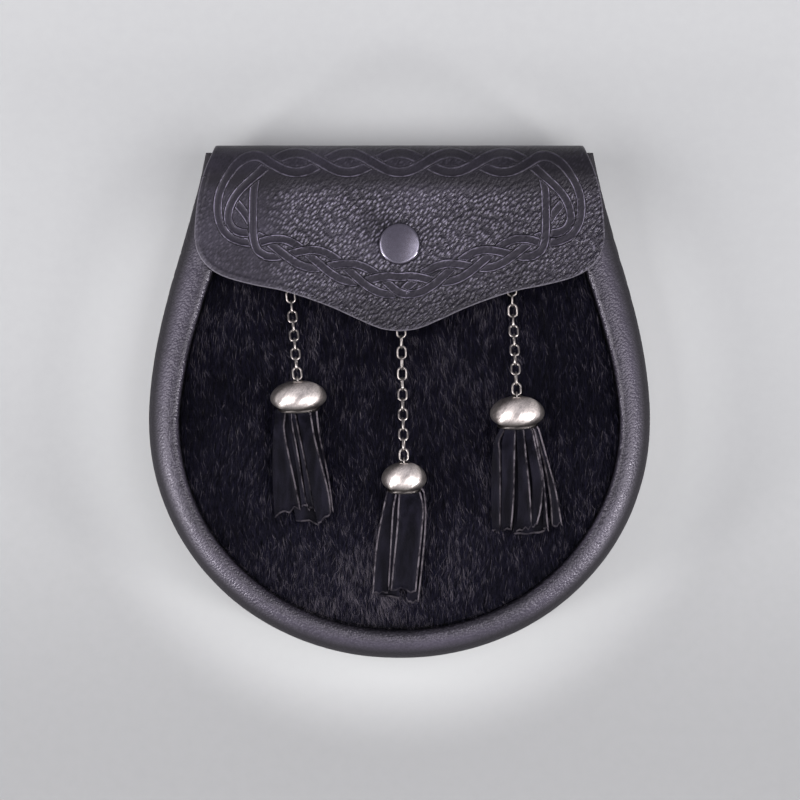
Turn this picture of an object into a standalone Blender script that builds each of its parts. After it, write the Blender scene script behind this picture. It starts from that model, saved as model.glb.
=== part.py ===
"""A leather day sporran lying on its back: +X to its right, +Y to its mouth, +Z out of its front.

All lengths are metres. The origin is on the surface that it lies on, under the middle of the pouch.
"""
import math

import bmesh
import bpy
from mathutils import Matrix, Vector

# Gaps
CLEARANCE = 0.0003
FOLD_GAP = 0.0004

# Pouch body
POUCH_WIDTH = 0.1804
UPPER_HEIGHT = 0.0988
LOWER_HEIGHT = 0.0858
LOWER_ROUNDNESS = 2.04
MOUTH_DEPTH = 0.0270
BELLY_DEPTH = 0.0330
BELLY_RISE = 0.1100
WIDEST_Y = (LOWER_HEIGHT - UPPER_HEIGHT) / 2
TOP_Y = WIDEST_Y + UPPER_HEIGHT
SIDE_STATIONS = 16

# Half-width above the widest line. Columns: share of the upper height, share of the half-width.
# The first row mirrors the third, so that the sides start upright.
SIDE_ROWS = (
    (-0.22, 0.979),
    (0.00, 1.000),
    (0.22, 0.979),
    (0.44, 0.927),
    (0.66, 0.858),
    (0.88, 0.795),
    (1.06, 0.757),
)

# Gusset: one leather wall, rolled over at the front and turned under at the back
GUSSET_LEATHER = 0.0020
RIM_AT_TOP = 0.0153
RIM_AT_WIDEST = 0.0111
RIM_AT_BOTTOM = 0.0102
ROLL_RADIUS = 0.0026
SHOULDER_DROP = 0.0105
FRONT_LIP = 0.0092
BACK_RIM_AT_TOP = 0.0068
BACK_RIM = 0.0085
BACK_CORNER_RADIUS = 0.0030

# Panels
BACK_RECESS = 0.0066
BACK_LEATHER = 0.0020
FRONT_RECESS = 0.0055
FRONT_HIDE = 0.0026
FRONT_TOP_MARGIN = 0.0162
FRONT_CROWN = 0.0025
CROWN_HALF_WIDTH = 0.0780
CROWN_HALF_HEIGHT = 0.0800
# Rings of the front panel, as shares of the way from its middle to its edge
PANEL_RINGS = (0.36, 0.68, 0.90, 1.0)

# Flap
FLAP_LEATHER = 0.0022
FLAP_WIDTH = 0.1472
FLAP_DROP = 0.0671
FLAP_CROWN = 0.0015
FRONT_FOLD_RADIUS = 0.0100
BACK_FOLD_RADIUS = 0.0080
FLAP_TAB = 0.0250
TAB_WIDTH = 0.1244

# Flap's half-width down its front. Columns: share of the flap's drop, share of its half-width.
FLAP_SIDE_ROWS = (
    (0.000, 0.889),
    (0.054, 0.912),
    (0.160, 0.956),
    (0.286, 0.984),
    (0.450, 0.999),
    (0.600, 1.000),
    (1.000, 1.000),
)

# How low the flap's edge hangs. Columns: share of its half-width from the middle, share of its drop.
FLAP_EDGE_ROWS = (
    (0.00, 1.000),
    (0.09, 0.986),
    (0.20, 0.937),
    (0.34, 0.868),
    (0.55, 0.789),
    (0.72, 0.750),
    (0.84, 0.714),
    (0.91, 0.676),
    (0.96, 0.624),
    (0.99, 0.560),
    (1.00, 0.495),
)

# Press stud
SNAP_DOWN_FLAP = 0.0360
SNAP_CAP_DIAMETER = 0.0150
SNAP_CAP_HEIGHT = 0.0023
SNAP_POST_DIAMETER = 0.0036
SOCKET_DIAMETER = 0.0110
SOCKET_HEIGHT = 0.0030
SOCKET_BORE = 0.0052
SOCKET_DEPTH = 0.0022
STUD_FLANGE_DIAMETER = 0.0095
STUD_FLANGE_HEIGHT = 0.0006
STUD_HEAD_DIAMETER = 0.0042
RIVET_DIAMETER = 0.0070
RIVET_HEIGHT = 0.0008
SNAP_SIDES = 14

# Cap of the press stud, from its seat to its middle. Columns: share of its radius, share of its height.
SNAP_CAP_ROWS = ((0.95, 0.00), (1.00, 0.25), (0.93, 0.68), (0.70, 0.92), (0.00, 1.00))

# Strap loops on the back
LOOP_LEATHER = 0.0016
LOOP_WIDTH = 0.0140
LOOP_SLOT = 0.0280
LOOP_TAB = 0.0060
LOOP_SPACING = 0.0760
LOOP_BELOW_TAB = 0.0050
LOOP_FLOOR_GAP = 0.0002
LOOP_BEND = 0.0014

# Chains
LINK_LENGTH = 0.0052
LINK_WIDTH = 0.0038
LINK_WIRE = 0.00078
LINK_FUSE = 0.00012
LINK_END_STEPS = 4
WIRE_SIDES = 5
CHAIN_LIFT_RUN = 0.0300
STAPLE_WIRE = 0.0009
STAPLE_WIDTH = 0.0040
STAPLE_CLINCH = 0.0012
STAPLE_SIDES = 6

# Tassels
CAP_WALL = 0.0009
CAP_HOLE = 0.0046
CAP_DOME_SHARE = 0.86
CAP_LIFT = math.radians(20)
CAP_SIDES = 14
HEAD_DIAMETER = 0.0078
HEAD_TOP = 0.0034
HEAD_HEIGHT = 0.0052
HEAD_SIDES = 10
RING_DIAMETER = 0.0034
RING_WIRE = 0.0007
RING_STEPS = 10
STEM_WIRE = 0.0010
STRIP_LEATHER = 0.0013
STRIP_STEPS = 4

# How the strips are gathered at the head, against how they leave the cap: spread, roll and width
HEAD_SPREAD = 0.45
HEAD_ROLL = 0.30
HEAD_PINCH = 0.55
# Share of a strip's length over which it falls to the hair, and how high a bundle stacks in cap radii
STRIP_FALL = 0.45
STRIP_STACK = 0.25

# Places are shares of the pouch's half-width and of its lower height, from the widest line upwards.
# Sizes are shares of the largest tassel's.
CAP_DIAMETER = 0.0195
CAP_LENGTH = 0.0095
STRIP_LENGTH = 0.0390
STRIP_WIDTH = 0.0072
TASSEL_COLUMNS = (
    "side", "across", "up", "links", "chain_heading", "cap_heading",
    "cap_diameter", "cap_length", "strip_length", "strip_width",
)
TASSELS = (
    ("left", -0.4035, 0.1632, 10, -5.0, 8.0, 1.000, 0.9684, 0.8846, 0.9167),
    ("middle", 0.0177, -0.1760, 14, -1.2, 1.0, 0.8051, 0.9684, 1.0000, 1.0000),
    ("right", 0.4656, 0.0991, 12, -2.5, 5.0, 0.9692, 1.0000, 0.9487, 0.9167),
)

# Strips: where each leaves its cap and ends, across and up, how far it is rolled on edge, how long it is
STRIP_COLUMNS = (
    "leaves_across", "ends_across", "ends_up", "roll_degrees", "share_of_length", "share_of_width",
)
STRIPS = {
    "left": (
        (-0.50, -1.25, 0.10, 14, 0.96, 1.00),
        (-0.42, -0.52, 0.44, 68, 0.92, 0.90),
        (-0.14, -0.22, 0.50, 74, 0.95, 0.95),
        (0.18, 0.22, 0.34, 20, 1.00, 1.20),
        (0.46, 0.58, 0.46, 70, 0.97, 0.95),
        (0.40, 0.86, 0.12, -18, 0.90, 1.00),
    ),
    "middle": (
        (-0.52, -1.36, 0.30, 56, 0.97, 0.90),
        (-0.36, -0.90, 0.12, 15, 0.93, 1.00),
        (-0.18, -0.62, 0.48, 72, 0.96, 0.88),
        (0.24, 0.10, 0.36, 9, 1.00, 1.16),
        (0.52, 0.70, 0.42, -66, 0.98, 0.94),
        (0.38, 0.64, 0.08, -13, 0.89, 0.98),
    ),
    "right": (
        (-0.50, -1.05, 0.12, 16, 0.92, 1.00),
        (-0.42, -0.78, 0.46, 74, 0.98, 0.90),
        (-0.16, -0.48, 0.30, 22, 0.94, 0.80),
        (-0.04, -0.24, 0.48, 76, 0.97, 0.90),
        (0.24, 0.42, 0.46, -70, 0.98, 0.95),
        (0.40, 0.82, 0.36, -52, 0.96, 0.95),
        (0.50, 1.26, 0.22, -34, 0.90, 1.00),
    ),
}

# Finishes: colour, roughness, metallic
LEATHER_FINISH = ((0.022, 0.021, 0.027), 0.46, 0.0)
HAIR_FINISH = ((0.012, 0.011, 0.013), 0.62, 0.0)
STRIP_FINISH = ((0.020, 0.020, 0.026), 0.50, 0.0)
CHAIN_FINISH = ((0.16, 0.15, 0.16), 0.34, 1.0)
PEWTER_FINISH = ((0.42, 0.39, 0.37), 0.30, 1.0)
GUNMETAL_FINISH = ((0.13, 0.13, 0.15), 0.32, 1.0)


def smooth_between(rows, place):
    """Value at a place, on a smooth curve through a table's rows."""
    count = len(rows)
    index = 0
    while index < count - 2 and place > rows[index + 1][0]:
        index += 1

    def slope(row):
        low, high = max(row - 1, 0), min(row + 1, count - 1)
        return (rows[high][1] - rows[low][1]) / (rows[high][0] - rows[low][0])

    start, end = rows[index], rows[index + 1]
    span = end[0] - start[0]
    share = (place - start[0]) / span
    rise = slope(index) * span, slope(index + 1) * span
    return (
        start[1] * (1 + 2 * share) * (1 - share) ** 2
        + rise[0] * share * (1 - share) ** 2
        + end[1] * share ** 2 * (3 - 2 * share)
        + rise[1] * share ** 2 * (share - 1)
    )


def side_point(share):
    """Point on the right half of the pouch's outline, from above the mouth (0) to the bottom (1)."""
    half = POUCH_WIDTH / 2
    if share < 0.5:
        height_share = SIDE_ROWS[-1][0] * (1 - 2 * share)
        across = half * smooth_between(SIDE_ROWS, height_share)
        return Vector((across, WIDEST_Y + UPPER_HEIGHT * height_share))
    angle = (2 * share - 1) * math.pi / 2
    power = 2 / LOWER_ROUNDNESS
    across = half * max(math.cos(angle), 0.0) ** power
    return Vector((across, WIDEST_Y - LOWER_HEIGHT * math.sin(angle) ** power))


def inset_point(share, distance):
    """The outline's point, moved into the pouch by a distance."""
    step = 0.004
    before, after = side_point(max(share - step, 0.0)), side_point(min(share + step, 1.0))
    if share > 1 - step:
        after = Vector((-before.x, before.y))
    along = (after - before).normalized()
    return side_point(share) + Vector((along.y, -along.x)) * distance


def blend_sizes(share, top, widest, bottom):
    """A size that changes evenly from the top to the widest line, and on to the bottom."""
    if share < 0.5:
        return top + (widest - top) * share * 2
    return widest + (bottom - widest) * (share * 2 - 1)


def rim_width(share):
    return blend_sizes(share, RIM_AT_TOP, RIM_AT_WIDEST, RIM_AT_BOTTOM)


def back_rim_width(share):
    return blend_sizes(share, BACK_RIM_AT_TOP, BACK_RIM, BACK_RIM)


def crest_height(y):
    """Height of the front rim's crest: the pouch is deeper at its belly than at its mouth."""
    share = min(max((TOP_Y - y) / BELLY_RISE, 0.0), 1.0)
    return MOUTH_DEPTH + (BELLY_DEPTH - MOUTH_DEPTH) * math.sin(share * math.pi / 2)


def crest_slope(y):
    """How far the front leans back, as an angle."""
    step = 0.0005
    return math.atan2(crest_height(y - step) - crest_height(y + step), 2 * step)


def hair_height(x, y):
    """Height of the front panel's hair over the surface that the pouch lies on."""
    spread = (x / CROWN_HALF_WIDTH) ** 2 + ((y - WIDEST_Y) / CROWN_HALF_HEIGHT) ** 2
    return crest_height(y) - FRONT_RECESS + FRONT_CROWN * max(1 - spread, 0.0)


def new_object(name, bm, finish, smooth_angle=None):
    """Object from a bmesh, with its own material."""
    bmesh.ops.recalc_face_normals(bm, faces=bm.faces)
    mesh = bpy.data.meshes.new(name)
    bm.to_mesh(mesh)
    bm.free()
    if smooth_angle is not None:
        mesh.shade_smooth()
        mesh.set_sharp_from_angle(angle=math.radians(smooth_angle))
    item = bpy.data.objects.new(name, mesh)
    bpy.context.scene.collection.objects.link(item)
    if finish is not None:
        colour, roughness, metallic = finish
        material = bpy.data.materials.new(name)
        material.use_nodes = True
        shader = material.node_tree.nodes["Principled BSDF"]
        shader.inputs["Base Color"].default_value = (*colour, 1.0)
        shader.inputs["Roughness"].default_value = roughness
        shader.inputs["Metallic"].default_value = metallic
        mesh.materials.append(material)
    return item


def add_loops(bm, loops, closed=False, capped=True):
    """Skin between loops of points that each close on themselves."""
    rings = [[bm.verts.new(point) for point in loop] for loop in loops]
    pairs = list(zip(rings, rings[1:]))
    if closed:
        pairs.append((rings[-1], rings[0]))
    for first, second in pairs:
        for index in range(len(first)):
            follow = (index + 1) % len(first)
            bm.faces.new((first[index], first[follow], second[follow], second[index]))
    if capped and not closed:
        bm.faces.new(rings[0])
        bm.faces.new(list(reversed(rings[-1])))
    return rings


def add_tube(bm, path, radius, sides, closed=False):
    """Round wire along a path of points, each wire ring turned with a point towards the path's middle."""
    middle = sum(path, Vector()) / len(path)
    loops = []
    for index, point in enumerate(path):
        if closed:
            before, after = path[index - 1], path[(index + 1) % len(path)]
        else:
            before, after = path[max(index - 1, 0)], path[min(index + 1, len(path) - 1)]
        along = (after - before).normalized()
        inward = middle - point
        inward = (inward - along * inward.dot(along)).normalized()
        across = along.cross(inward)
        turn = [2 * math.pi * side / sides for side in range(sides)]
        loops.append([point + (inward * math.cos(a) + across * math.sin(a)) * radius for a in turn])
    add_loops(bm, loops, closed=closed)


def add_turned(bm, profile, sides, place):
    """Solid turned about its own Z axis from (radius, height) points, then put in its place."""
    rings = []
    for radius, height in profile:
        if radius == 0:
            rings.append([bm.verts.new(place @ Vector((0, 0, height)))])
            continue
        turn = [2 * math.pi * side / sides for side in range(sides)]
        rings.append([
            bm.verts.new(place @ Vector((radius * math.cos(a), radius * math.sin(a), height))) for a in turn
        ])
    pairs = list(zip(rings, rings[1:]))
    if len(rings[0]) > 1:
        pairs.append((rings[-1], rings[0]))
    for first, second in pairs:
        for side in range(sides):
            follow = (side + 1) % sides
            corners = [first[side % len(first)], first[follow % len(first)]]
            corners += [second[follow % len(second)], second[side % len(second)]]
            bm.faces.new(list(dict.fromkeys(corners)))


def add_rod(bm, radius, low, high, sides, place):
    """Round rod along its own Z axis, put in its place."""
    add_turned(bm, [(0, low), (radius, low), (radius, high), (0, high)], sides, place)


def combine(base, others, operation, solver="EXACT"):
    """Boolean of one object with others, which are removed once it is done."""
    for other in others:
        modifier = base.modifiers.new(operation.title(), "BOOLEAN")
        modifier.operation = operation
        modifier.solver = solver
        modifier.object = other
    shape = base.evaluated_get(bpy.context.evaluated_depsgraph_get())
    mesh = bpy.data.meshes.new_from_object(shape)
    base.modifiers.clear()
    base.data = mesh
    for other in others:
        bpy.data.objects.remove(other)


def fill_pockets(item):
    """Keeps an object's largest skin, so that no closed pocket stays inside it."""
    bm = bmesh.new()
    bm.from_mesh(item.data)
    waiting, skins = set(bm.faces), []
    while waiting:
        skin, edge = set(), [waiting.pop()]
        while edge:
            face = edge.pop()
            skin.add(face)
            near = {other for side in face.edges for other in side.link_faces} & waiting
            waiting -= near
            edge += near
        skins.append(skin)
    outside = max(skins, key=len)
    bmesh.ops.delete(bm, geom=[face for face in bm.faces if face not in outside], context="FACES")
    bm.to_mesh(item.data)
    bm.free()


def frame_at(origin, up, forward):
    """Matrix with local Z along up and local Y near forward."""
    z_axis = up.normalized()
    x_axis = forward.cross(z_axis).normalized()
    y_axis = z_axis.cross(x_axis)
    matrix = Matrix((x_axis, y_axis, z_axis)).transposed().to_4x4()
    matrix.translation = origin
    return matrix


def flap_inside():
    """Underside of the flap from its tab on the back to the front fold's end: (y, z, normal angle)."""
    inner_top = TOP_Y - FLAP_LEATHER
    tab_height = BACK_RECESS - CLEARANCE
    back_centre = Vector((inner_top - BACK_FOLD_RADIUS, tab_height + BACK_FOLD_RADIUS))
    lean = crest_slope(inner_top - FRONT_FOLD_RADIUS)
    front_y = inner_top - FRONT_FOLD_RADIUS
    front_end = front_y + FRONT_FOLD_RADIUS * math.sin(lean)
    front_z = crest_height(front_end) + CLEARANCE - FRONT_FOLD_RADIUS * math.cos(lean)
    path = [(back_centre.x - FLAP_TAB, tab_height, -math.pi / 2)]
    for step in range(4):
        angle = (step / 3 - 1) * math.pi / 2
        path.append((
            back_centre.x + BACK_FOLD_RADIUS * math.cos(angle),
            back_centre.y + BACK_FOLD_RADIUS * math.sin(angle), angle,
        ))
    for step in range(5):
        angle = step / 4 * (math.pi / 2 - lean)
        path.append((
            front_y + FRONT_FOLD_RADIUS * math.cos(angle),
            front_z + FRONT_FOLD_RADIUS * math.sin(angle), angle,
        ))
    return path


def flap_crown(x, y):
    """How far the flap stands over a straight line from rim to rim."""
    inner_top = TOP_Y - FLAP_LEATHER
    along = min(max((inner_top - y) / (4 * FRONT_FOLD_RADIUS), 0.0), 1.0)
    across = max(1 - (2 * x / FLAP_WIDTH) ** 2, 0.0)
    return FLAP_CROWN * across * math.sin(along * math.pi / 2)


def flap_underside(x, y):
    """Height of the flap's underside on the front."""
    return crest_height(y) + CLEARANCE + flap_crown(x, y)


def build_gusset():
    """Wall of leather swept round the pouch, with its ends rounded to lie inside the flap's fold."""
    bm = bmesh.new()
    loops = []
    for station in range(-SIDE_STATIONS, SIDE_STATIONS + 1):
        share = 1 - abs(station) / SIDE_STATIONS
        edge = side_point(share)
        inward = (inset_point(share, 1.0) - edge).normalized()
        side = -1 if station < 0 else 1
        loop = []
        for distance, height in gusset_section(rim_width(share), back_rim_width(share), crest_height(edge.y)):
            point = edge + inward * distance
            loop.append(Vector((side * point.x, point.y, height)))
        loops.append(loop)
    add_loops(bm, loops)
    gusset = new_object("gusset", bm, LEATHER_FINISH)
    combine(gusset, [gusset_end_block()], "INTERSECT")
    gusset.data.shade_smooth()
    gusset.data.set_sharp_from_angle(angle=math.radians(40))


def gusset_section(front, back, height):
    """Closed section of the gusset: (distance inward, height), down its outside and up its inside."""
    faces = []
    for depth in (0.0, GUSSET_LEATHER):
        line = [(front - depth, height - FRONT_LIP)]
        for angle in (0, 45, 90):
            line.append((
                front - ROLL_RADIUS + (ROLL_RADIUS - depth) * math.cos(math.radians(angle)),
                height - ROLL_RADIUS + (ROLL_RADIUS - depth) * math.sin(math.radians(angle)),
            ))
        across = front - ROLL_RADIUS
        for angle in (120, 150, 180):
            line.append((
                across + (across - depth) * math.cos(math.radians(angle)),
                height - SHOULDER_DROP + (SHOULDER_DROP - depth) * math.sin(math.radians(angle)),
            ))
        for centre, angles in ((BACK_CORNER_RADIUS, (180, 225, 270)), (back - ROLL_RADIUS, (270, 360))):
            radius = BACK_CORNER_RADIUS if angles[0] == 180 else ROLL_RADIUS
            for angle in angles:
                line.append((
                    centre + (radius - depth) * math.cos(math.radians(angle)),
                    radius + (radius - depth) * math.sin(math.radians(angle)),
                ))
        line.append((back - depth, BACK_RECESS + BACK_LEATHER + CLEARANCE))
        faces.append(line)
    return faces[0] + list(reversed(faces[1]))


def gusset_end_block():
    """Block that the gusset is kept inside of: its end follows the flap's fold, a clearance away."""
    reach = POUCH_WIDTH
    fold = flap_inside()[1:]
    outline = [(-reach, -reach), (fold[0][0], -reach)]
    outline += [(y - FOLD_GAP * math.cos(angle), z - FOLD_GAP * math.sin(angle)) for y, z, angle in fold]
    outline += [(fold[-1][0] - FOLD_GAP, reach), (-reach, reach)]
    bm = bmesh.new()
    loops = [[Vector((x, y, z)) for y, z in outline] for x in (-reach, reach)]
    add_loops(bm, loops)
    return new_object("gusset_end_block", bm, None)


def panel_outline(width_at, top_y, top_steps):
    """Edge of a panel: inside one rim, round the bottom, up the other side and straight across the top."""
    shares = [station / SIDE_STATIONS for station in range(SIDE_STATIONS + 1)]
    right = [inset_point(share, width_at(share) + CLEARANCE) for share in shares]
    first = next(index for index, point in enumerate(right) if point.y < top_y - CLEARANCE)
    above, below = right[first - 1], right[first]
    corner = below.lerp(above, (top_y - below.y) / (above.y - below.y))
    half = [corner] + right[first:]
    half[-1].x = 0
    left = [Vector((-point.x, point.y)) for point in reversed(half[:-1])]
    top = [Vector((corner.x * (2 * step / top_steps - 1), top_y)) for step in range(1, top_steps)]
    return half + left + top


def build_front_panel():
    """Crowned hide panel inside the front rim, with holes for the stud and the staples."""
    edge = panel_outline(rim_width, TOP_Y - FRONT_TOP_MARGIN, 8)
    centre = Vector((0, WIDEST_Y))
    bm = bmesh.new()
    sheets = []
    for depth in (0.0, FRONT_HIDE):
        rings = []
        for share in PANEL_RINGS:
            ring = [centre.lerp(point, share) for point in edge]
            rings.append([bm.verts.new((p.x, p.y, hair_height(p.x, p.y) - depth)) for p in ring])
        middle = bm.verts.new((centre.x, centre.y, hair_height(centre.x, centre.y) - depth))
        sheets.append(rings)
        for first, second in zip(rings, rings[1:]):
            for index in range(len(edge)):
                follow = (index + 1) % len(edge)
                bm.faces.new((first[index], first[follow], second[follow], second[index]))
        for index in range(len(edge)):
            bm.faces.new((middle, rings[0][index], rings[0][(index + 1) % len(edge)]))
    upper, lower = sheets[0][-1], sheets[1][-1]
    for index in range(len(edge)):
        follow = (index + 1) % len(edge)
        bm.faces.new((upper[index], upper[follow], lower[follow], lower[index]))
    panel = new_object("front_panel", bm, HAIR_FINISH, smooth_angle=40)
    holes = bmesh.new()
    reach = FRONT_RECESS + FRONT_HIDE + SNAP_CAP_DIAMETER
    add_rod(holes, SNAP_POST_DIAMETER / 2 + CLEARANCE, -reach, reach, SNAP_SIDES, snap_frame())
    for row in TASSELS:
        tassel = tassel_layout(row)
        for side in (-1, 1):
            place = Matrix.Translation(staple_leg(tassel, side))
            add_rod(holes, STAPLE_WIRE / 2 + CLEARANCE, -reach, reach, STAPLE_SIDES, place)
    combine(panel, [new_object("front_holes", holes, None)], "DIFFERENCE")


def build_back_panel():
    """Flat leather back inside the turned-under edge."""
    edge = panel_outline(back_rim_width, flap_inside()[1][0], 2)
    bm = bmesh.new()
    loops = [[Vector((p.x, p.y, z)) for p in edge] for z in (BACK_RECESS, BACK_RECESS + BACK_LEATHER)]
    add_loops(bm, loops)
    new_object("back_panel", bm, LEATHER_FINISH)


def flap_half_width(y, angle):
    """Half-width of the flap at a height, on its back and fold (angle up to 0) or down its front."""
    if angle < 0:
        share = -angle / (math.pi / 2)
        top = FLAP_WIDTH / 2 * FLAP_SIDE_ROWS[0][1]
        return top + (TAB_WIDTH / 2 - top) * share
    return FLAP_WIDTH / 2 * smooth_between(FLAP_SIDE_ROWS, (TOP_Y - y) / FLAP_DROP)


def build_flap():
    """Leather flap: a sheet bent over the top, cut to an ogee with a rounded point."""
    columns = [-row[0] for row in reversed(FLAP_EDGE_ROWS)] + [row[0] for row in FLAP_EDGE_ROWS[1:]]
    fold = flap_inside()
    front_start = fold[-1][0]
    loops = []
    for column in columns:
        inner, outer = [], []
        for y, z, angle in fold:
            x = column * flap_half_width(y, angle)
            inner.append(Vector((x, y, z)))
            outer.append(Vector((x, y + FLAP_LEATHER * math.cos(angle), z + FLAP_LEATHER * math.sin(angle))))
        low = TOP_Y - FLAP_DROP * smooth_between(FLAP_EDGE_ROWS, abs(column))
        for step in range(1, 6):
            y = front_start + (low - front_start) * step / 5
            x = column * flap_half_width(y, math.pi / 2)
            lean = crest_slope(y)
            z = flap_underside(x, y)
            inner.append(Vector((x, y, z)))
            outer.append(Vector((x, y + FLAP_LEATHER * math.sin(lean), z + FLAP_LEATHER * math.cos(lean))))
        loops.append(inner + list(reversed(outer)))
    bm = bmesh.new()
    add_loops(bm, loops, capped=False)
    bm.verts.ensure_lookup_table()
    size = len(loops[0])
    for first in (0, size * (len(loops) - 1)):
        for index in range(size // 2 - 1):
            corners = (first + index, first + index + 1, first + size - 2 - index, first + size - 1 - index)
            bm.faces.new([bm.verts[corner] for corner in corners])
    flap = new_object("flap", bm, LEATHER_FINISH, smooth_angle=40)
    hole = bmesh.new()
    reach = FLAP_LEATHER * 2
    add_rod(hole, SNAP_POST_DIAMETER / 2 + CLEARANCE, -reach, reach, SNAP_SIDES, snap_frame())
    combine(flap, [new_object("flap_hole", hole, None)], "DIFFERENCE")


def snap_frame():
    """Frame on the flap's underside where the press stud goes through, square to the flap."""
    y = TOP_Y - SNAP_DOWN_FLAP
    lean = crest_slope(y)
    origin = Vector((0, y, flap_underside(0, y)))
    return frame_at(origin, Vector((0, math.sin(lean), math.cos(lean))), Vector((0, 1, 0)))


def build_snap():
    """Press stud: the cap, post and socket on the flap, and the stud riveted to the panel."""
    place = snap_frame()
    cap, post = SNAP_CAP_DIAMETER / 2, SNAP_POST_DIAMETER / 2
    top = FLAP_LEATHER + CLEARANCE
    socket_end = -CLEARANCE - SOCKET_HEIGHT
    bore_top = socket_end + SOCKET_DEPTH
    button = bmesh.new()
    add_turned(button, [
        (0, bore_top), (SOCKET_BORE / 2, bore_top), (SOCKET_BORE / 2, socket_end),
        (SOCKET_DIAMETER / 2, socket_end), (SOCKET_DIAMETER / 2, -CLEARANCE), (post, -CLEARANCE),
        (post, top), *[(cap * across, top + SNAP_CAP_HEIGHT * up) for across, up in SNAP_CAP_ROWS],
    ], SNAP_SIDES, place)
    new_object("snap_button", button, GUNMETAL_FINISH, smooth_angle=40)
    origin = place.translation
    hide = (hair_height(origin.x, origin.y) - origin.z) * place.col[2].z
    flange = hide + CLEARANCE
    rivet = hide - FRONT_HIDE - CLEARANCE
    head = STUD_HEAD_DIAMETER / 2
    head_top = bore_top - CLEARANCE
    stud = bmesh.new()
    add_turned(stud, [
        (0, rivet - RIVET_HEIGHT), (RIVET_DIAMETER / 2, rivet - RIVET_HEIGHT), (RIVET_DIAMETER / 2, rivet),
        (post, rivet), (post, flange), (STUD_FLANGE_DIAMETER / 2, flange),
        (STUD_FLANGE_DIAMETER / 2, flange + STUD_FLANGE_HEIGHT), (head * 0.8, flange + STUD_FLANGE_HEIGHT),
        (head * 0.8, head_top - head * 0.8), (head, head_top - head * 0.5), (head * 0.7, head_top),
        (0, head_top),
    ], SNAP_SIDES, place)
    new_object("snap_stud", stud, GUNMETAL_FINISH, smooth_angle=40)


def loop_top_y():
    """Top end of the strap loops, below the flap's tab."""
    return TOP_Y - FLAP_LEATHER - BACK_FOLD_RADIUS - FLAP_TAB - LOOP_BELOW_TAB


def build_belt_loop(name, centre_x):
    """Leather strap with its ends flat on the back and a slot for the kilt strap between them."""
    outer = LOOP_FLOOR_GAP
    seat = BACK_RECESS - CLEARANCE
    high = loop_top_y()
    half = LOOP_TAB + LOOP_LEATHER + LOOP_SLOT / 2
    centre_y = high - half
    skin = []
    for side in (1, -1):
        bend = [
            (half, seat), (half, seat - LOOP_LEATHER),
            (LOOP_SLOT / 2 + LOOP_LEATHER, seat - LOOP_LEATHER),
            (LOOP_SLOT / 2 + LOOP_LEATHER, outer + LOOP_BEND),
            (LOOP_SLOT / 2 + LOOP_LEATHER - LOOP_BEND, outer),
        ]
        inner = [(LOOP_SLOT / 2, outer + LOOP_LEATHER), (LOOP_SLOT / 2, seat)]
        skin.append(([(side * y, z) for y, z in bend], [(side * y, z) for y, z in inner]))
    outline = skin[0][0] + list(reversed(skin[1][0])) + list(reversed(skin[1][1])) + skin[0][1]
    bm = bmesh.new()
    loops = [
        [Vector((centre_x + side * LOOP_WIDTH / 2, centre_y + y, z)) for y, z in outline] for side in (-1, 1)
    ]
    add_loops(bm, loops)
    new_object(name, bm, LEATHER_FINISH)


def tassel_layout(row):
    """Where a tassel's cap, chain and staple lie, worked out from its row."""
    tassel = dict(zip(TASSEL_COLUMNS, row))
    sizes = {"cap_diameter": CAP_DIAMETER, "cap_length": CAP_LENGTH,
             "strip_length": STRIP_LENGTH, "strip_width": STRIP_WIDTH}
    for name, size in sizes.items():
        tassel[name] *= size
    heading = math.radians(tassel["cap_heading"])
    level = Vector((math.sin(heading), -math.cos(heading), 0))
    down = level * math.cos(CAP_LIFT) - Vector((0, 0, math.sin(CAP_LIFT)))
    top = Vector((POUCH_WIDTH / 2 * tassel["across"], WIDEST_Y + LOWER_HEIGHT * tassel["up"], 0))
    rim = top + down * tassel["cap_length"]
    radius = tassel["cap_diameter"] / 2
    rim_height = hair_height(rim.x, rim.y) + CLEARANCE + radius * math.cos(CAP_LIFT)
    top.z = rim_height + tassel["cap_length"] * math.sin(CAP_LIFT)
    tassel["top"], tassel["down"] = top, down
    tassel["frame"] = frame_at(top, down, Vector((0, 0, 1)))
    tassel["links_at"] = chain_places(tassel)
    return tassel


def chain_places(tassel):
    """Centre and direction of each link from the staple to the cap, then the staple's wire."""
    heading = math.radians(tassel["chain_heading"])
    back = Vector((math.sin(heading), math.cos(heading)))
    top = tassel["top"]
    rest = CLEARANCE + LINK_WIDTH / 2
    rise = top.z - hair_height(top.x, top.y) - rest

    def route(distance):
        x, y = top.x + back.x * distance, top.y + back.y * distance
        lift = max(1 - distance / CHAIN_LIFT_RUN, 0.0)
        return Vector((x, y, hair_height(x, y) + rest + rise * lift ** 2 * (3 - 2 * lift)))

    def walk(distance, length):
        point, step = route(distance), LINK_WIRE / 20
        while length > 0:
            distance += step
            follow = route(distance)
            length -= (follow - point).length
            point = follow
        return distance

    wire_gap = RING_DIAMETER / 2 - RING_WIRE - LINK_WIRE / 2 - CLEARANCE
    bend_to_centre = (LINK_LENGTH - LINK_WIRE) / 2
    pitch = LINK_LENGTH - 2 * LINK_WIRE + LINK_FUSE
    places = []
    distance = walk(0.0, wire_gap + bend_to_centre)
    for link in range(tassel["links"]):
        centre = route(distance)
        along = (route(distance + LINK_WIRE) - route(distance - LINK_WIRE)).normalized()
        places.append((centre, along))
        if link < tassel["links"] - 1:
            distance = walk(distance, pitch)
    reach = bend_to_centre - LINK_WIRE / 2 - STAPLE_WIRE / 2 - CLEARANCE
    tassel["staple_at"] = route(walk(distance, reach))
    return list(reversed(places))


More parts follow.
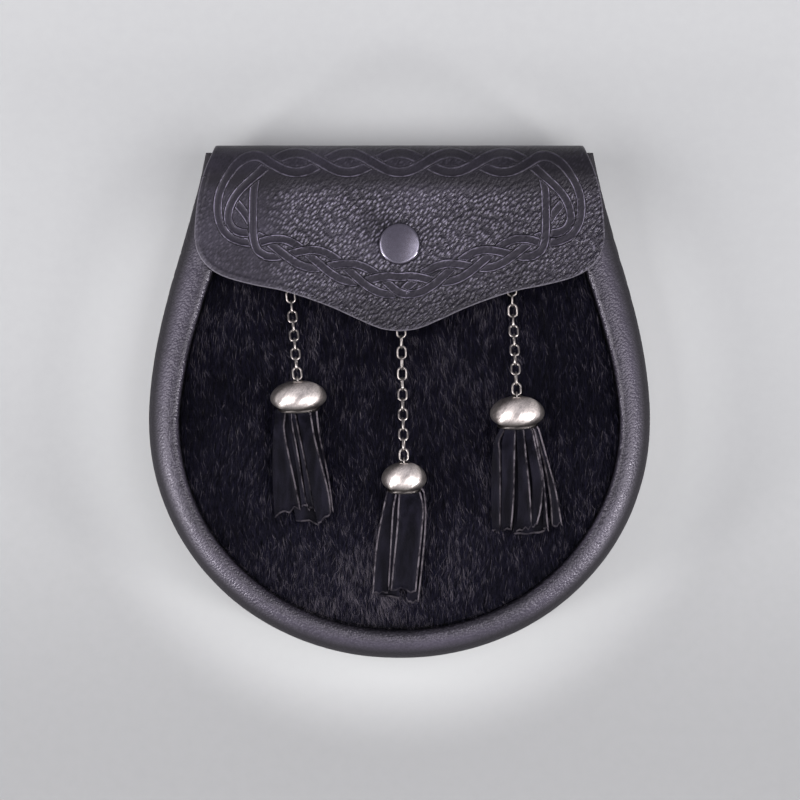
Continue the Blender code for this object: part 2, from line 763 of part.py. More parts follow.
def link_path(centre, along, across):
    """Middle line of a link: two half circles joined by straight sides."""
    radius = (LINK_WIDTH - LINK_WIRE) / 2
    straight = LINK_LENGTH - LINK_WIDTH
    path = []
    for end in (1, -1):
        for step in range(LINK_END_STEPS + 1):
            angle = math.pi * step / LINK_END_STEPS
            shift = along * (end * straight / 2 + end * radius * math.sin(angle))
            path.append(centre + shift + across * (end * radius * math.cos(angle)))
    return path


def build_chain(tassel):
    """Cable chain, every second link on edge, fused where the links bear on each other."""
    name = "chain_" + tassel["side"]
    halves = [bmesh.new(), bmesh.new()]
    for index, (centre, along) in enumerate(tassel["links_at"]):
        level = along.cross(Vector((0, 0, 1))).normalized()
        across = along.cross(level) if index % 2 == 0 else level
        add_tube(halves[index % 2], link_path(centre, along, across), LINK_WIRE / 2, WIRE_SIDES, closed=True)
    chain = new_object(name, halves[0], CHAIN_FINISH)
    combine(chain, [new_object("face_on_links", halves[1], None)], "UNION")
    chain.data.shade_smooth()
    chain.data.set_sharp_from_angle(angle=math.radians(75))


def staple_leg(tassel, side):
    """Where a staple's leg goes through the front panel."""
    place = tassel["staple_at"]
    x = place.x + side * (STAPLE_WIDTH - STAPLE_WIRE) / 2
    return Vector((x, place.y, hair_height(x, place.y)))


def build_staple(tassel):
    """Wire staple whose legs go through the panel, with the chain's first link round it."""
    bend = STAPLE_WIRE
    height = tassel["staple_at"].z
    left, right = staple_leg(tassel, -1), staple_leg(tassel, 1)
    path = [
        left - Vector((0, 0, FRONT_HIDE + STAPLE_CLINCH)),
        Vector((left.x, left.y, height - bend)),
        Vector((left.x + bend, left.y, height)),
        Vector((right.x - bend, right.y, height)),
        Vector((right.x, right.y, height - bend)),
        right - Vector((0, 0, FRONT_HIDE + STAPLE_CLINCH)),
    ]
    bm = bmesh.new()
    add_tube(bm, path, STAPLE_WIRE / 2, STAPLE_SIDES)
    new_object("staple_" + tassel["side"], bm, CHAIN_FINISH, smooth_angle=70)


def build_cap(tassel):
    """Domed cap, open below, with a hole in its top for the ring and the chain."""
    radius, length = tassel["cap_diameter"] / 2, tassel["cap_length"]

    def dome(depth, share):
        """Point on the dome's outside, or under its wall, from its foot (0) to the hole's edge (1)."""
        across, along = radius - depth, length * CAP_DOME_SHARE - depth
        turn = share * math.acos(CAP_HOLE / 2 / across)
        return across * math.cos(turn), length * CAP_DOME_SHARE - along * math.sin(turn)

    inside = [dome(CAP_WALL, step / 3) for step in (3, 2, 1, 0)]
    outside = [dome(0.0, step / 4) for step in (0, 1, 2, 3, 4)]
    rim = [(radius - CAP_WALL, length), (radius, length)]
    bm = bmesh.new()
    add_turned(bm, inside + rim + outside, CAP_SIDES, tassel["frame"])
    new_object("tassel_cap_" + tassel["side"], bm, PEWTER_FINISH, smooth_angle=50)


def strip_loops(tassel, strip, start):
    """Sections of one leather strip from the tassel's head, out of the cap, down onto the hair."""
    row = dict(zip(STRIP_COLUMNS, strip))
    radius, length = tassel["cap_diameter"] / 2, tassel["cap_length"]
    down = tassel["down"]
    level = Vector((down.x, down.y, 0)).normalized()
    sideways = Vector((-level.y, level.x, 0))
    root = tassel["top"] + down * start
    full = length - start + tassel["strip_length"] * row["share_of_length"]
    thick, wide = STRIP_LEATHER / 2, tassel["strip_width"] / 2 * row["share_of_width"]
    roll_end = math.radians(row["roll_degrees"])
    stand = abs(math.sin(roll_end)) * wide + abs(math.cos(roll_end)) * thick + CLEARANCE
    loops = []
    for step in range(STRIP_STEPS + 1):
        run = start + full * step / STRIP_STEPS
        out = min(max((run - length) / tassel["strip_length"], 0.0), 1.0)
        neck = min((run - start) / (length - start), 1.0)
        leaves = row["leaves_across"] * (HEAD_SPREAD + (1 - HEAD_SPREAD) * neck)
        across = radius * (leaves * (1 - out) + row["ends_across"] * out)
        place = root + level * (run - start) + sideways * across
        ground = hair_height(place.x, place.y) + stand
        lie = ground + row["ends_up"] * radius * STRIP_STACK
        fall = 1 - (1 - min(out / STRIP_FALL, 1.0)) ** 2
        place.z = max(root.z + (lie - root.z) * fall, ground)
        roll = roll_end * (HEAD_ROLL + (1 - HEAD_ROLL) * neck)
        flat = sideways * math.cos(roll) + Vector((0, 0, math.sin(roll)))
        normal = Vector((0, 0, math.cos(roll))) - sideways * math.sin(roll)
        half = wide * (HEAD_PINCH + (1 - HEAD_PINCH) * neck)
        loops.append([
            place + flat * half + normal * thick, place - flat * half + normal * thick,
            place - flat * half - normal * thick, place + flat * half - normal * thick,
        ])
    return loops


def build_tassel(tassel):
    """Strips fused to a head, with a stem and ring above it that the chain's last link goes through."""
    frame = tassel["frame"]
    head = bmesh.new()
    add_rod(head, HEAD_DIAMETER / 2, HEAD_TOP, HEAD_TOP + HEAD_HEIGHT, HEAD_SIDES, frame)
    tassel_object = new_object("tassel_" + tassel["side"], head, STRIP_FINISH)
    pieces = []
    strips = STRIPS[tassel["side"]]
    for index, strip in enumerate(strips):
        bm = bmesh.new()
        start = HEAD_TOP + HEAD_HEIGHT * (index + len(strips)) / (2 * len(strips) + 1)
        add_loops(bm, strip_loops(tassel, strip, start))
        pieces.append(new_object("strip", bm, None))
    ring = bmesh.new()
    ring_radius = (RING_DIAMETER - RING_WIRE) / 2
    on_edge = tassel["links"] % 2 == 0
    plane = frame.col[1].to_3d() if on_edge else frame.col[0].to_3d()
    path = []
    for step in range(RING_STEPS):
        angle = 2 * math.pi * step / RING_STEPS
        path.append(frame.translation + tassel["down"] * ring_radius * math.cos(angle)
                    + plane * ring_radius * math.sin(angle))
    add_tube(ring, path, RING_WIRE / 2, WIRE_SIDES, closed=True)
    pieces.append(new_object("ring", ring, None))
    stem = bmesh.new()
    add_rod(stem, STEM_WIRE / 2, ring_radius, HEAD_TOP + STEM_WIRE / 2, STAPLE_SIDES, frame)
    pieces.append(new_object("stem", stem, None))
    combine(tassel_object, pieces, "UNION", solver="MANIFOLD")
    fill_pockets(tassel_object)


def main():
    """Builds the whole sporran in an empty scene."""
    for item in list(bpy.data.objects):
        bpy.data.objects.remove(item)
    build_gusset()
    build_back_panel()
    build_front_panel()
    build_flap()
    build_snap()
    build_belt_loop("belt_loop_left", -LOOP_SPACING / 2)
    build_belt_loop("belt_loop_right", LOOP_SPACING / 2)
    for row in TASSELS:
        tassel = tassel_layout(row)
        build_staple(tassel)
        build_chain(tassel)
        build_cap(tassel)
        build_tassel(tassel)


main()
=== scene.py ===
"""Looks of a black leather day sporran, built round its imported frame.

Lengths are metres. The pouch lies on its back: +X to its right, +Y to its mouth, +Z out of its front.
"""
import math

import bpy
import numpy as np
from mathutils import Matrix, Vector
from mathutils.kdtree import KDTree


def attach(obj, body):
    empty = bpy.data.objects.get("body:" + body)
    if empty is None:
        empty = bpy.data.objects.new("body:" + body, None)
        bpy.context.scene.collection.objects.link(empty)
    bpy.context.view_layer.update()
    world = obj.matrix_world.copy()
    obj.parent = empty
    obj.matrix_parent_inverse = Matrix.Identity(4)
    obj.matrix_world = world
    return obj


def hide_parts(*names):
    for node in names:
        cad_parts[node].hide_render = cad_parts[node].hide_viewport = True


MM = 0.001
RNG = np.random.default_rng(8933)

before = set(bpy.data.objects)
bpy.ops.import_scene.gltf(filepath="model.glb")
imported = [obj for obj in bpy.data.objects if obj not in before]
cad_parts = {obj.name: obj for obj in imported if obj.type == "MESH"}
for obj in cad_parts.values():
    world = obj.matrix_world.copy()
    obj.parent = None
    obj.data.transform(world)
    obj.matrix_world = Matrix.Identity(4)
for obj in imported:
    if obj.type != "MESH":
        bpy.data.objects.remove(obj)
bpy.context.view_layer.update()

# Sizes shared with the frame
POUCH_WIDTH = 0.1804
UPPER_HEIGHT = 0.0988
LOWER_HEIGHT = 0.0858
LOWER_ROUNDNESS = 2.04
MOUTH_DEPTH = 0.0270
BELLY_DEPTH = 0.0330
BELLY_RISE = 0.1100
WIDEST_Y = (LOWER_HEIGHT - UPPER_HEIGHT) / 2
TOP_Y = WIDEST_Y + UPPER_HEIGHT
SIDE_ROWS = ((-0.22, 0.979), (0.00, 1.000), (0.22, 0.979), (0.44, 0.927), (0.66, 0.858), (0.88, 0.795), (1.06, 0.757))
GUSSET_LEATHER = 0.0020
RIM_SIZES = (0.0153, 0.0111, 0.0102)
BACK_RIM_SIZES = (0.0068, 0.0085, 0.0085)
ROLL_RADIUS = 0.0026
SHOULDER_DROP = 0.0105
FRONT_LIP = 0.0092
BACK_CORNER_RADIUS = 0.0030
CLEARANCE = 0.0003
FOLD_GAP = 0.0004
BACK_RECESS = 0.0066
BACK_LEATHER = 0.0020
FRONT_RECESS = 0.0055
FRONT_HIDE = 0.0026
FRONT_TOP_MARGIN = 0.0162
FRONT_CROWN = 0.0025
CROWN_HALF_WIDTH = 0.0780
CROWN_HALF_HEIGHT = 0.0800
FLAP_LEATHER = 0.0022
FLAP_WIDTH = 0.1472
FLAP_DROP = 0.0671
FLAP_CROWN = 0.0015
FRONT_FOLD_RADIUS = 0.0100
BACK_FOLD_RADIUS = 0.0080
FLAP_TAB = 0.0250
TAB_WIDTH = 0.1244
TAB_STEPS = 24
TAB_LOW = TOP_Y - FLAP_LEATHER - BACK_FOLD_RADIUS - FLAP_TAB
FLAP_SIDE_ROWS = ((0.000, 0.889), (0.054, 0.912), (0.160, 0.956), (0.286, 0.984), (0.450, 0.999), (0.600, 1.000),
                  (1.000, 1.000))
FLAP_EDGE_ROWS = ((0.00, 1.000), (0.09, 0.986), (0.20, 0.937), (0.34, 0.868), (0.55, 0.789), (0.72, 0.750),
                  (0.84, 0.714), (0.91, 0.676), (0.96, 0.624), (0.99, 0.560), (1.00, 0.495))
SNAP_DOWN_FLAP = 0.0360
SNAP_CAP_DIAMETER = 0.0150
LINK_LENGTH = 0.0052
LINK_WIDTH = 0.0038
LINK_WIRE = 0.00078
LINK_FUSE = 0.00012
CHAIN_LIFT_RUN = 0.0300
RING_DIAMETER = 0.0034
RING_WIRE = 0.0007
CAP_WALL = 0.0009
CAP_HOLE = 0.0046
LOOP_LEATHER = 0.0016
LOOP_WIDTH = 0.0140
LOOP_SLOT = 0.0280
LOOP_TAB = 0.0060
LOOP_SPACING = 0.0760
LOOP_BELOW_TAB = 0.0050
LOOP_FLOOR_GAP = 0.0002
TASSEL_COLUMNS = ("side", "cap_top_x", "cap_top_y", "links", "chain_heading", "cap_heading",
                  "cap_diameter", "cap_length", "strip_length")
TASSELS = (
    ("left", -0.0364, 0.0075, 10, -5.0, 8.0, 0.0195, 0.0092, 0.0345),
    ("middle", 0.0016, -0.0216, 14, -1.2, 1.0, 0.0157, 0.0092, 0.0390),
    ("right", 0.0420, 0.0020, 12, -2.5, 5.0, 0.0189, 0.0095, 0.0370),
)


# Short sums

def ramp(value, run, low=0.0, high=1.0):
    """Share of a run, held between two ends."""
    return np.clip(value / run, low, high)


def bell(value, width):
    return np.exp(-(value / width) ** 2)


def unit(vectors):
    return vectors / np.maximum(np.linalg.norm(vectors, axis=-1, keepdims=True), 1e-12)


def run_along(points):
    """Distance of each point from the first, along the line through them."""
    return np.concatenate([[0], np.cumsum(np.linalg.norm(np.diff(points, axis=0), axis=1))])


def arc(centre, radii, start, end, steps):
    """Points on an ellipse's arc, from one angle to another in degrees."""
    angles = np.radians(np.linspace(start, end, steps + 1))
    return np.column_stack([centre[0] + radii[0] * np.cos(angles), centre[1] + radii[1] * np.sin(angles)])


# Shapes shared with the frame

def smooth_between(rows, place):
    """Values at places, on a smooth curve through a table's rows."""
    place = np.asarray(place, float)
    keys, values = np.array(rows).T
    low = np.maximum(np.arange(len(rows)) - 1, 0)
    high = np.minimum(np.arange(len(rows)) + 1, len(rows) - 1)
    slopes = (values[high] - values[low]) / (keys[high] - keys[low])
    index = np.clip(np.searchsorted(keys, place, side="left") - 1, 0, len(rows) - 2)
    span = keys[index + 1] - keys[index]
    share = (place - keys[index]) / span
    return (values[index] * (1 + 2 * share) * (1 - share) ** 2 + slopes[index] * span * share * (1 - share) ** 2
            + values[index + 1] * share ** 2 * (3 - 2 * share)
            + slopes[index + 1] * span * share ** 2 * (share - 1))


def side_points(share):
    """Points on the right half of the pouch's outline, from above the mouth (0) to the bottom (1)."""
    share = np.asarray(share, float)
    half = POUCH_WIDTH / 2
    up = SIDE_ROWS[-1][0] * (1 - 2 * share)
    upper = np.stack([half * smooth_between(SIDE_ROWS, up), WIDEST_Y + UPPER_HEIGHT * up], -1)
    angle = np.clip((2 * share - 1) * math.pi / 2, 0, math.pi / 2)
    power = 2 / LOWER_ROUNDNESS
    lower = np.stack([half * np.maximum(np.cos(angle), 0) ** power,
                      WIDEST_Y - LOWER_HEIGHT * np.sin(angle) ** power], -1)
    return np.where((share < 0.5)[..., None], upper, lower)


def outline_frame(share):
    """Outline points and the unit directions into the pouch."""
    step = 0.004
    before, after = side_points(np.maximum(share - step, 0)), side_points(np.minimum(share + step, 1))
    after = np.where((share > 1 - step)[..., None], before * [-1, 1], after)
    along = unit(after - before)
    return side_points(share), np.stack([along[..., 1], -along[..., 0]], -1)


def blend_sizes(share, sizes):
    top, widest, bottom = sizes
    return np.where(share < 0.5, top + (widest - top) * share * 2, widest + (bottom - widest) * (share * 2 - 1))


def crest_height(y):
    share = ramp(TOP_Y - np.asarray(y, float), BELLY_RISE)
    return MOUTH_DEPTH + (BELLY_DEPTH - MOUTH_DEPTH) * np.sin(share * math.pi / 2)


def crest_slope(y):
    step = 0.0005
    return np.arctan2(crest_height(y - step) - crest_height(y + step), 2 * step)


def hair_height(x, y):
    spread = (np.asarray(x) / CROWN_HALF_WIDTH) ** 2 + ((np.asarray(y) - WIDEST_Y) / CROWN_HALF_HEIGHT) ** 2
    return crest_height(y) - FRONT_RECESS + FRONT_CROWN * np.maximum(1 - spread, 0)


def flap_underside(x, y):
    along = ramp(TOP_Y - FLAP_LEATHER - FRONT_FOLD_RADIUS - y, 3.5 * FRONT_FOLD_RADIUS)
    across = np.maximum(1 - (2 * x / FLAP_WIDTH) ** 2, 0)
    return crest_height(y) + CLEARANCE + FLAP_CROWN * across * along ** 2 * (3 - 2 * along)


def flap_fold(back_steps, front_steps):
    """Underside of the flap from its tab to the front fold's end: rows of y, z and normal angle."""
    inner_top = TOP_Y - FLAP_LEATHER
    tab_height = BACK_RECESS - CLEARANCE
    back_y, back_z = inner_top - BACK_FOLD_RADIUS, tab_height + BACK_FOLD_RADIUS
    front_y = inner_top - FRONT_FOLD_RADIUS
    lean = float(crest_slope(front_y))
    front_z = (float(crest_height(front_y + FRONT_FOLD_RADIUS * math.sin(lean))) + CLEARANCE
               - FRONT_FOLD_RADIUS * math.cos(lean))
    rows = [(back_y - FLAP_TAB * (1 - step / TAB_STEPS), tab_height, -math.pi / 2) for step in range(TAB_STEPS)]
    for step in range(back_steps + 1):
        angle = (step / back_steps - 1) * math.pi / 2
        rows.append((back_y + BACK_FOLD_RADIUS * math.cos(angle),
                     back_z + BACK_FOLD_RADIUS * math.sin(angle), angle))
    low_y, low_z = rows[-1][:2]
    for step in range(1, 8):
        rows.append((low_y, low_z + (front_z - low_z) * step / 8, 0.0))
    for step in range(front_steps + 1):
        angle = step / front_steps * (math.pi / 2 - lean)
        rows.append((front_y + FRONT_FOLD_RADIUS * math.cos(angle),
                     front_z + FRONT_FOLD_RADIUS * math.sin(angle), angle))
    return np.array(rows)


def flap_half_width(y, angle):
    top = FLAP_WIDTH / 2 * FLAP_SIDE_ROWS[0][1]
    back = top + (TAB_WIDTH / 2 - top) * ramp(-angle, math.pi / 2)
    front = FLAP_WIDTH / 2 * smooth_between(FLAP_SIDE_ROWS, ramp(TOP_Y - y, FLAP_DROP))
    return np.where(angle < 0, back, front)


def flap_edge_y(share):
    """Height of the flap's lower edge, by the share of its half-width."""
    return TOP_Y - FLAP_DROP * smooth_between(FLAP_EDGE_ROWS, np.abs(share))


# Mesh helpers

def mesh_object(name, points, faces, material, values):
    """Smooth object riding on the root body, from arrays of points and faces, with point attributes."""
    mesh = bpy.data.meshes.new(name)
    points = np.ascontiguousarray(points, np.float32).reshape(-1, 3)
    mesh.vertices.add(len(points))
    mesh.vertices.foreach_set("co", points.ravel())
    corners = [np.asarray(group, np.int32) for group in faces if len(group)]
    loops = np.concatenate([group.ravel() for group in corners])
    totals = np.concatenate([np.full(len(group), group.shape[1], np.int32) for group in corners])
    mesh.loops.add(len(loops))
    mesh.loops.foreach_set("vertex_index", loops)
    mesh.polygons.add(len(totals))
    mesh.polygons.foreach_set("loop_start", np.concatenate([[0], np.cumsum(totals)[:-1]]).astype(np.int32))
    mesh.update(calc_edges=True)
    mesh.validate()
    for key, data in values.items():
        attribute = mesh.attributes.new(key, "FLOAT", "POINT")
        attribute.data.foreach_set("value", np.ascontiguousarray(data, np.float32).ravel())
    mesh.shade_smooth()
    item = bpy.data.objects.new(name, mesh)
    bpy.context.scene.collection.objects.link(item)
    mesh.materials.append(material)
    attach(item, "root")
    return item


def grid_faces(rows, columns, wrap_rows, wrap_columns, flip):
    """Quads over a grid of points laid out row by row."""
    i, j = np.meshgrid(np.arange(rows if wrap_rows else rows - 1),
                       np.arange(columns if wrap_columns else columns - 1), indexing="ij")
    k, m = (i + 1) % rows, (j + 1) % columns
    quads = np.stack([i * columns + j, i * columns + m, k * columns + m, k * columns + j], -1).reshape(-1, 4)
    return quads[:, ::-1] if flip else quads


class Shell:
    """Gathers grids and loose faces into one mesh."""

    def __init__(self):
        self.points, self.faces, self.values, self.count = [], [], {}, 0

    def add(self, points, faces, **values):
        points = np.asarray(points, float).reshape(-1, 3)
        self.faces.append(np.asarray(faces) + self.count)
        for key, data in values.items():
            data = np.broadcast_to(np.asarray(data, float), len(points)) if np.ndim(data) == 0 else np.ravel(data)
            self.values.setdefault(key, []).append((self.count, data))
        self.points.append(points)
        self.count += len(points)

    def grid(self, points, wrap_rows=False, wrap_columns=False, flip=False, **values):
        self.add(points, grid_faces(*points.shape[:2], wrap_rows, wrap_columns, flip), **values)

    def edge_band(self, layers, axis, line, flip=False, **values):
        """Joins the sheets' first or last rows (axis 0) or columns (axis 1)."""
        self.grid(np.stack([np.take(layer, line, axis) for layer in layers], axis), flip=flip, **values)

    def fan(self, ring):
        """Closes a ring of points with triangles to its middle."""
        place = np.arange(len(ring))
        self.add(np.vstack([ring, ring.mean(0)]),
                 np.column_stack([place, (place + 1) % len(ring), np.full_like(place, len(ring))]))

    def turned(self, profile, sides, place, **values):
        """Skin turned about its own Z axis from (radius, height) points, then put in its place."""
        profile = np.asarray(profile, float)
        turn = np.linspace(0, 2 * math.pi, sides, endpoint=False)
        points = np.stack([profile[:, :1] * np.cos(turn), profile[:, :1] * np.sin(turn),
                           np.repeat(profile[:, 1:2], sides, 1)], -1)
        matrix = np.array(place)
        spread = {key: np.repeat(data, sides) if np.ndim(data) else data for key, data in values.items()}
        self.grid(points @ matrix[:3, :3].T + matrix[:3, 3], wrap_columns=True, **spread)

    def tube(self, path, radius, sides, closed=False):
        """Round wire along a path of points."""
        path = np.asarray(path, float)
        along = unit(np.roll(path, -1, 0) - np.roll(path, 1, 0) if closed else np.gradient(path, axis=0))
        inward = path.mean(0) - path
        inward -= along * (inward * along).sum(1, keepdims=True)
        inward /= np.maximum(np.linalg.norm(inward, axis=1, keepdims=True), 1e-9)
        across = np.cross(along, inward)
        turn = np.linspace(0, 2 * math.pi, sides, endpoint=False)[None, :, None]
        radius = np.broadcast_to(np.asarray(radius, float), len(path))[:, None, None]
        points = path[:, None] + (inward[:, None] * np.cos(turn) + across[:, None] * np.sin(turn)) * radius
        self.grid(points, wrap_rows=closed, wrap_columns=True)

    def build(self, name, material):
        groups = {}
        for face in self.faces:
            groups.setdefault(face.shape[1], []).append(face)
        values = {}
        for key, parts in self.values.items():
            values[key] = np.zeros(self.count)
            for start, data in parts:
                values[key][start:start + len(data)] = data
        faces = [np.concatenate(group) for group in groups.values()]
        return mesh_object(name, np.concatenate(self.points), faces, material, values)


def lattice_noise(points, size, seed, octaves=2):
    """Smooth repeatable noise from -1 to 1 at points (n, d), with cells of a size."""
    points = np.asarray(points, float)
    total, scale, weight, norm = 0.0, 1.0, 1.0, 0.0
    for octave in range(octaves):
        cell = points / size * scale + 1000.0
        base = np.floor(cell).astype(np.int64)
        part = cell - base
        part = part * part * (3 - 2 * part)
        value = 0.0
        for corner in range(2 ** points.shape[-1]):
            bits = np.array([(corner >> axis) & 1 for axis in range(points.shape[-1])])
            index = base + bits
            mix = np.prod(np.where(bits == 1, part, 1 - part), axis=-1)
            code = (seed + 31 * octave) * 374761393
            for axis, prime in enumerate((668265263, 2246822519, 3266489917)[:points.shape[-1]]):
                code = code + index[..., axis] * prime
            code = (code ^ (code >> 13)) * 1274126177 & 0xFFFFFFFF
            code = code ^ (code >> 16)
            value = value + mix * ((code & 0xFFFF) / 32767.5 - 1)
        total = total + value * weight
        norm += weight
        scale, weight = scale * 2, weight * 0.5
    return total / norm


# Materials

class Nodes:
    """Short way to write a material's nodes."""

    def __init__(self, name):
        self.material = bpy.data.materials.new(name)
        self.material.use_nodes = True
        self.tree = self.material.node_tree
        self.shader = self.tree.nodes["Principled BSDF"]

    def set(self, **inputs):
        """Sets or links the shader's own sockets and gives the material."""
        for key, value in inputs.items():
            self.put(self.shader.inputs[key.replace("_", " ").title().replace("Ior", "IOR")], value)
        return self.material

    def put(self, socket, value):
        if isinstance(value, bpy.types.NodeSocket):
            self.tree.links.new(value, socket)
        else:
            socket.default_value = value

    def new(self, kind, out=0, settings=(), **inputs):
        node = self.tree.nodes.new(kind)
        for key, value in dict(settings).items():
            setattr(node, key, value)
        for key, value in inputs.items():
            numbered = key[0] == "i" and key[1:].isdigit()
            self.put(node.inputs[int(key[1:]) if numbered else key.title()], value)
        return node.outputs[out]

    def place(self, stretch=(1, 1, 1), turn=0, shift=(0, 0, 0)):
        """Object coordinates turned, then stretched: features run along the turned X axis where Y is above 1."""
        return self.new("ShaderNodeMapping", 0, {"vector_type": "TEXTURE"}, vector=self.new("ShaderNodeTexCoord", 3),
                        rotation=(0, 0, math.radians(turn)), scale=[1 / a for a in stretch], location=shift)

    def noise(self, vector, scale, detail, rough):
        return self.new("ShaderNodeTexNoise", vector=vector, scale=scale, detail=detail, roughness=rough)

    def cells(self, vector, scale, flat=False):
        """Distance to cell middles; flat cells are worked out in the XY plane alone."""
        return self.new("ShaderNodeTexVoronoi", 0, {"voronoi_dimensions": "2D" if flat else "3D"}, vector=vector,
                        scale=scale)

    def value(self, name):
        return self.new("ShaderNodeAttribute", 2, {"attribute_name": name})

    def times(self, first, *factors):
        for factor in factors:
            first = self.new("ShaderNodeMath", 0, {"operation": "MULTIPLY"}, i0=first, i1=factor)
        return first

    def total(self, *terms):
        """Sum of values, each given with its weight."""
        first, *others = (self.times(value, weight) if weight != 1 else value for value, weight in terms)
        for other in others:
            first = self.new("ShaderNodeMath", 0, {"operation": "ADD"}, i0=first, i1=other)
        return first

    def spread(self, value, low, high, to_low=0.0, to_high=1.0):
        return self.new("ShaderNodeMapRange", 0, {"interpolation_type": "SMOOTHSTEP"}, value=value, i1=low,
                        i2=high, i3=to_low, i4=to_high)

    def mix(self, factor, a, b):
        """Mix of two colours, each a socket or red, green and blue as photographed, from 0 to 255."""
        a, b = (rgb(*colour) if isinstance(colour, tuple) else colour for colour in (a, b))
        return self.new("ShaderNodeMix", 2, {"data_type": "RGBA"}, i0=factor, i6=a, i7=b)

    def bump(self, height, distance, **inputs):
        return self.new("ShaderNodeBump", height=height, distance=distance, **inputs)


def rgb(*colour):
    """Linear colour of a photographed 0 to 255 colour."""
    shares = [value / 255 for value in colour]
    return (*(share / 12.92 if share <= 0.04045 else ((share + 0.055) / 1.055) ** 2.4 for share in shares), 1.0)


SHEEN_TINT = (0.94, 0.88, 1.0, 1.0)
HAIR_TINT = (0.72, 0.68, 1.0, 1.0)
# shift of the painted shadow that sits in the pit beside each pebble on the flap
PEBBLE_SHADOW_SHIFT = (0.00048, -0.00056, 0.0)
FLOOR_GREY = 146


def back_leather():
    """Plain dyed leather: stretched pebbles over fine grain, greyer where it is rubbed."""
    n = Nodes("back_leather")
    place = n.place((1.0, 1.25, 1.0), 25)
    pebbles, creases = n.cells(place, 700), n.cells(place, 1190)
    broad = n.noise(n.place(), 55, 3, 0.55)
    tone = n.total((n.spread(pebbles, 0.25, 0.75, 1.0, 0.0), 0.45), (broad, 0.55))
    height = n.total((pebbles, -0.9), (creases, -0.35), (n.noise(place, 3500, 4, 0.6), 0.22))
    return n.set(base_color=n.mix(n.spread(tone, 0.25, 0.85), (24, 23, 29), (44, 42, 50)), ior=1.48,
                 roughness=n.spread(broad, 0.3, 0.7, 0.58, 0.40), normal=n.bump(height, 0.00025))


def rim_leather():
    """Glazed leather of the gusset: fine even grain, faint creases, duller and with painted shade down its outer
    sides, paler along its crest and inner roll, partly rubbed wear and partly painted sheen.
    """
    n = Nodes("rim_leather")
    side = n.value("side")
    pores = n.cells(n.place((1.0, 1.5, 1.0), 40), 1000)
    fine, broad = n.noise(n.place(), 2600, 4, 0.6), n.noise(n.place(), 38, 3, 0.5)
    creases = n.noise(n.place((0.45, 1.6, 1), -42), 300, 4, 0.6)
    # the wear value pales the crest (partly rubbed wear, partly painted sheen) and the inner roll at the sides
    # (painted highlight)
    tone = n.total((broad, 0.5), (n.value("wear"), 0.38), (pores, -0.25))
    colour = n.mix(n.spread(tone, 0.0, 0.75), (12, 11, 15), (60, 56, 66))
    height = n.total((pores, -0.9), (fine, 0.25), (creases, 0.8))
    # the side value mixes the colour towards near black as painted shade on the outer wall, and makes it duller
    return n.set(base_color=n.mix(side, colour, (5, 4, 6)), ior=1.46, specular_tint=SHEEN_TINT,
                 roughness=n.total((n.spread(broad, 0.3, 0.7, 0.29, 0.23), 1), (side, 0.52)),
                 normal=n.bump(height, 0.00019))


def flap_leather():
    """Pebbled flap leather: a painted highlight on each pebble's crown and painted shadow in the pit beside it; its
    stamped strands smooth with pale raised lines, partly rubbed wear and partly painted highlight, and painted shade
    in the groove outside them; painted shade on the fold's foot, the right side and the tip; its cut edge pale.
    """
    n = Nodes("flap_leather")
    grain, cut, reach, press = (n.value(name) for name in ("grain", "cut", "reach", "press"))
    place, shadow_place = (n.place((0.80, 1.75, 1.0), 50, shift) for shift in ((0, 0, 0), PEBBLE_SHADOW_SHIFT))
    pebbles, shadow_cells, creases = (n.cells(vector, scale, True) for vector, scale in
                                  ((place, 500), (shadow_place, 500), (place, 1150)))
    fine, broad, rub_and_sheen = (n.noise(n.place(), *look) for look in ((2800, 4, 0.6), (60, 3, 0.55), (330, 3, 0.6)))
    # by the distance from a strand's middle line, in millimetres: its smooth body, raised line and outer groove
    body = n.spread(reach, 0.75, 1.15, 1.0, 0.0)
    line = n.times(n.spread(reach, 0.98, 1.26), n.spread(reach, 1.34, 1.60, 1.0, 0.0))
    groove = n.times(n.spread(reach, 1.42, 1.66), n.spread(reach, 1.74, 1.94, 1.0, 0.0))
    tone = n.total((creases, -0.25), (broad, 0.9))
    colour = n.mix(n.spread(tone, 0.0, 0.75), (11, 10, 14), (48, 45, 54))
    for share, over in (
        # painted shadow in the pit beside each pebble, from the shifted cells
        (n.times(n.spread(shadow_cells, 0.06, 0.38, 1.0, 0.0), grain, 0.90), (4, 3, 6)),
        # painted highlight on each pebble's crown, patchy by a noise
        (n.times(n.spread(pebbles, 0.02, 0.42, 1.0, 0.0), grain, n.spread(rub_and_sheen, 0.34, 0.62, 0.35)), (108, 103, 117)),
        # painted shade on the foot of the fold, the right side and the tip
        (n.value("shade"), (7, 6, 9)),
        (n.times(body, press, 0.60), (21, 19, 25)),
        # painted shade in the groove outside each strand
        (n.times(groove, press, 0.9), (4, 4, 6)),
        # pale raised lines: partly rubbed wear on the ridges, partly painted highlight
        (n.times(line, press, n.spread(rub_and_sheen, 0.38, 0.62, 0.15, 0.85)), (116, 110, 127)),
        (cut, n.mix(n.noise(n.place(), 1500, 2, 0.55), (78, 75, 84), (112, 108, 116))),
    ):
        colour = n.mix(share, colour, over)
    rough = n.total((n.spread(broad, 0.3, 0.7, 0.42, 0.36), 1), (grain, -0.12), (cut, 0.25))
    height = n.total((n.times(n.total((pebbles, -1.0), (creases, -0.35)), grain), 1), (fine, 0.10))
    stamped = n.bump(n.times(n.total((line, 0.22), (groove, -0.30)), press), 0.001)
    return n.set(base_color=colour, roughness=rough, ior=1.32, specular_tint=SHEEN_TINT,
                 normal=n.bump(height, 0.00062, normal=stamped))


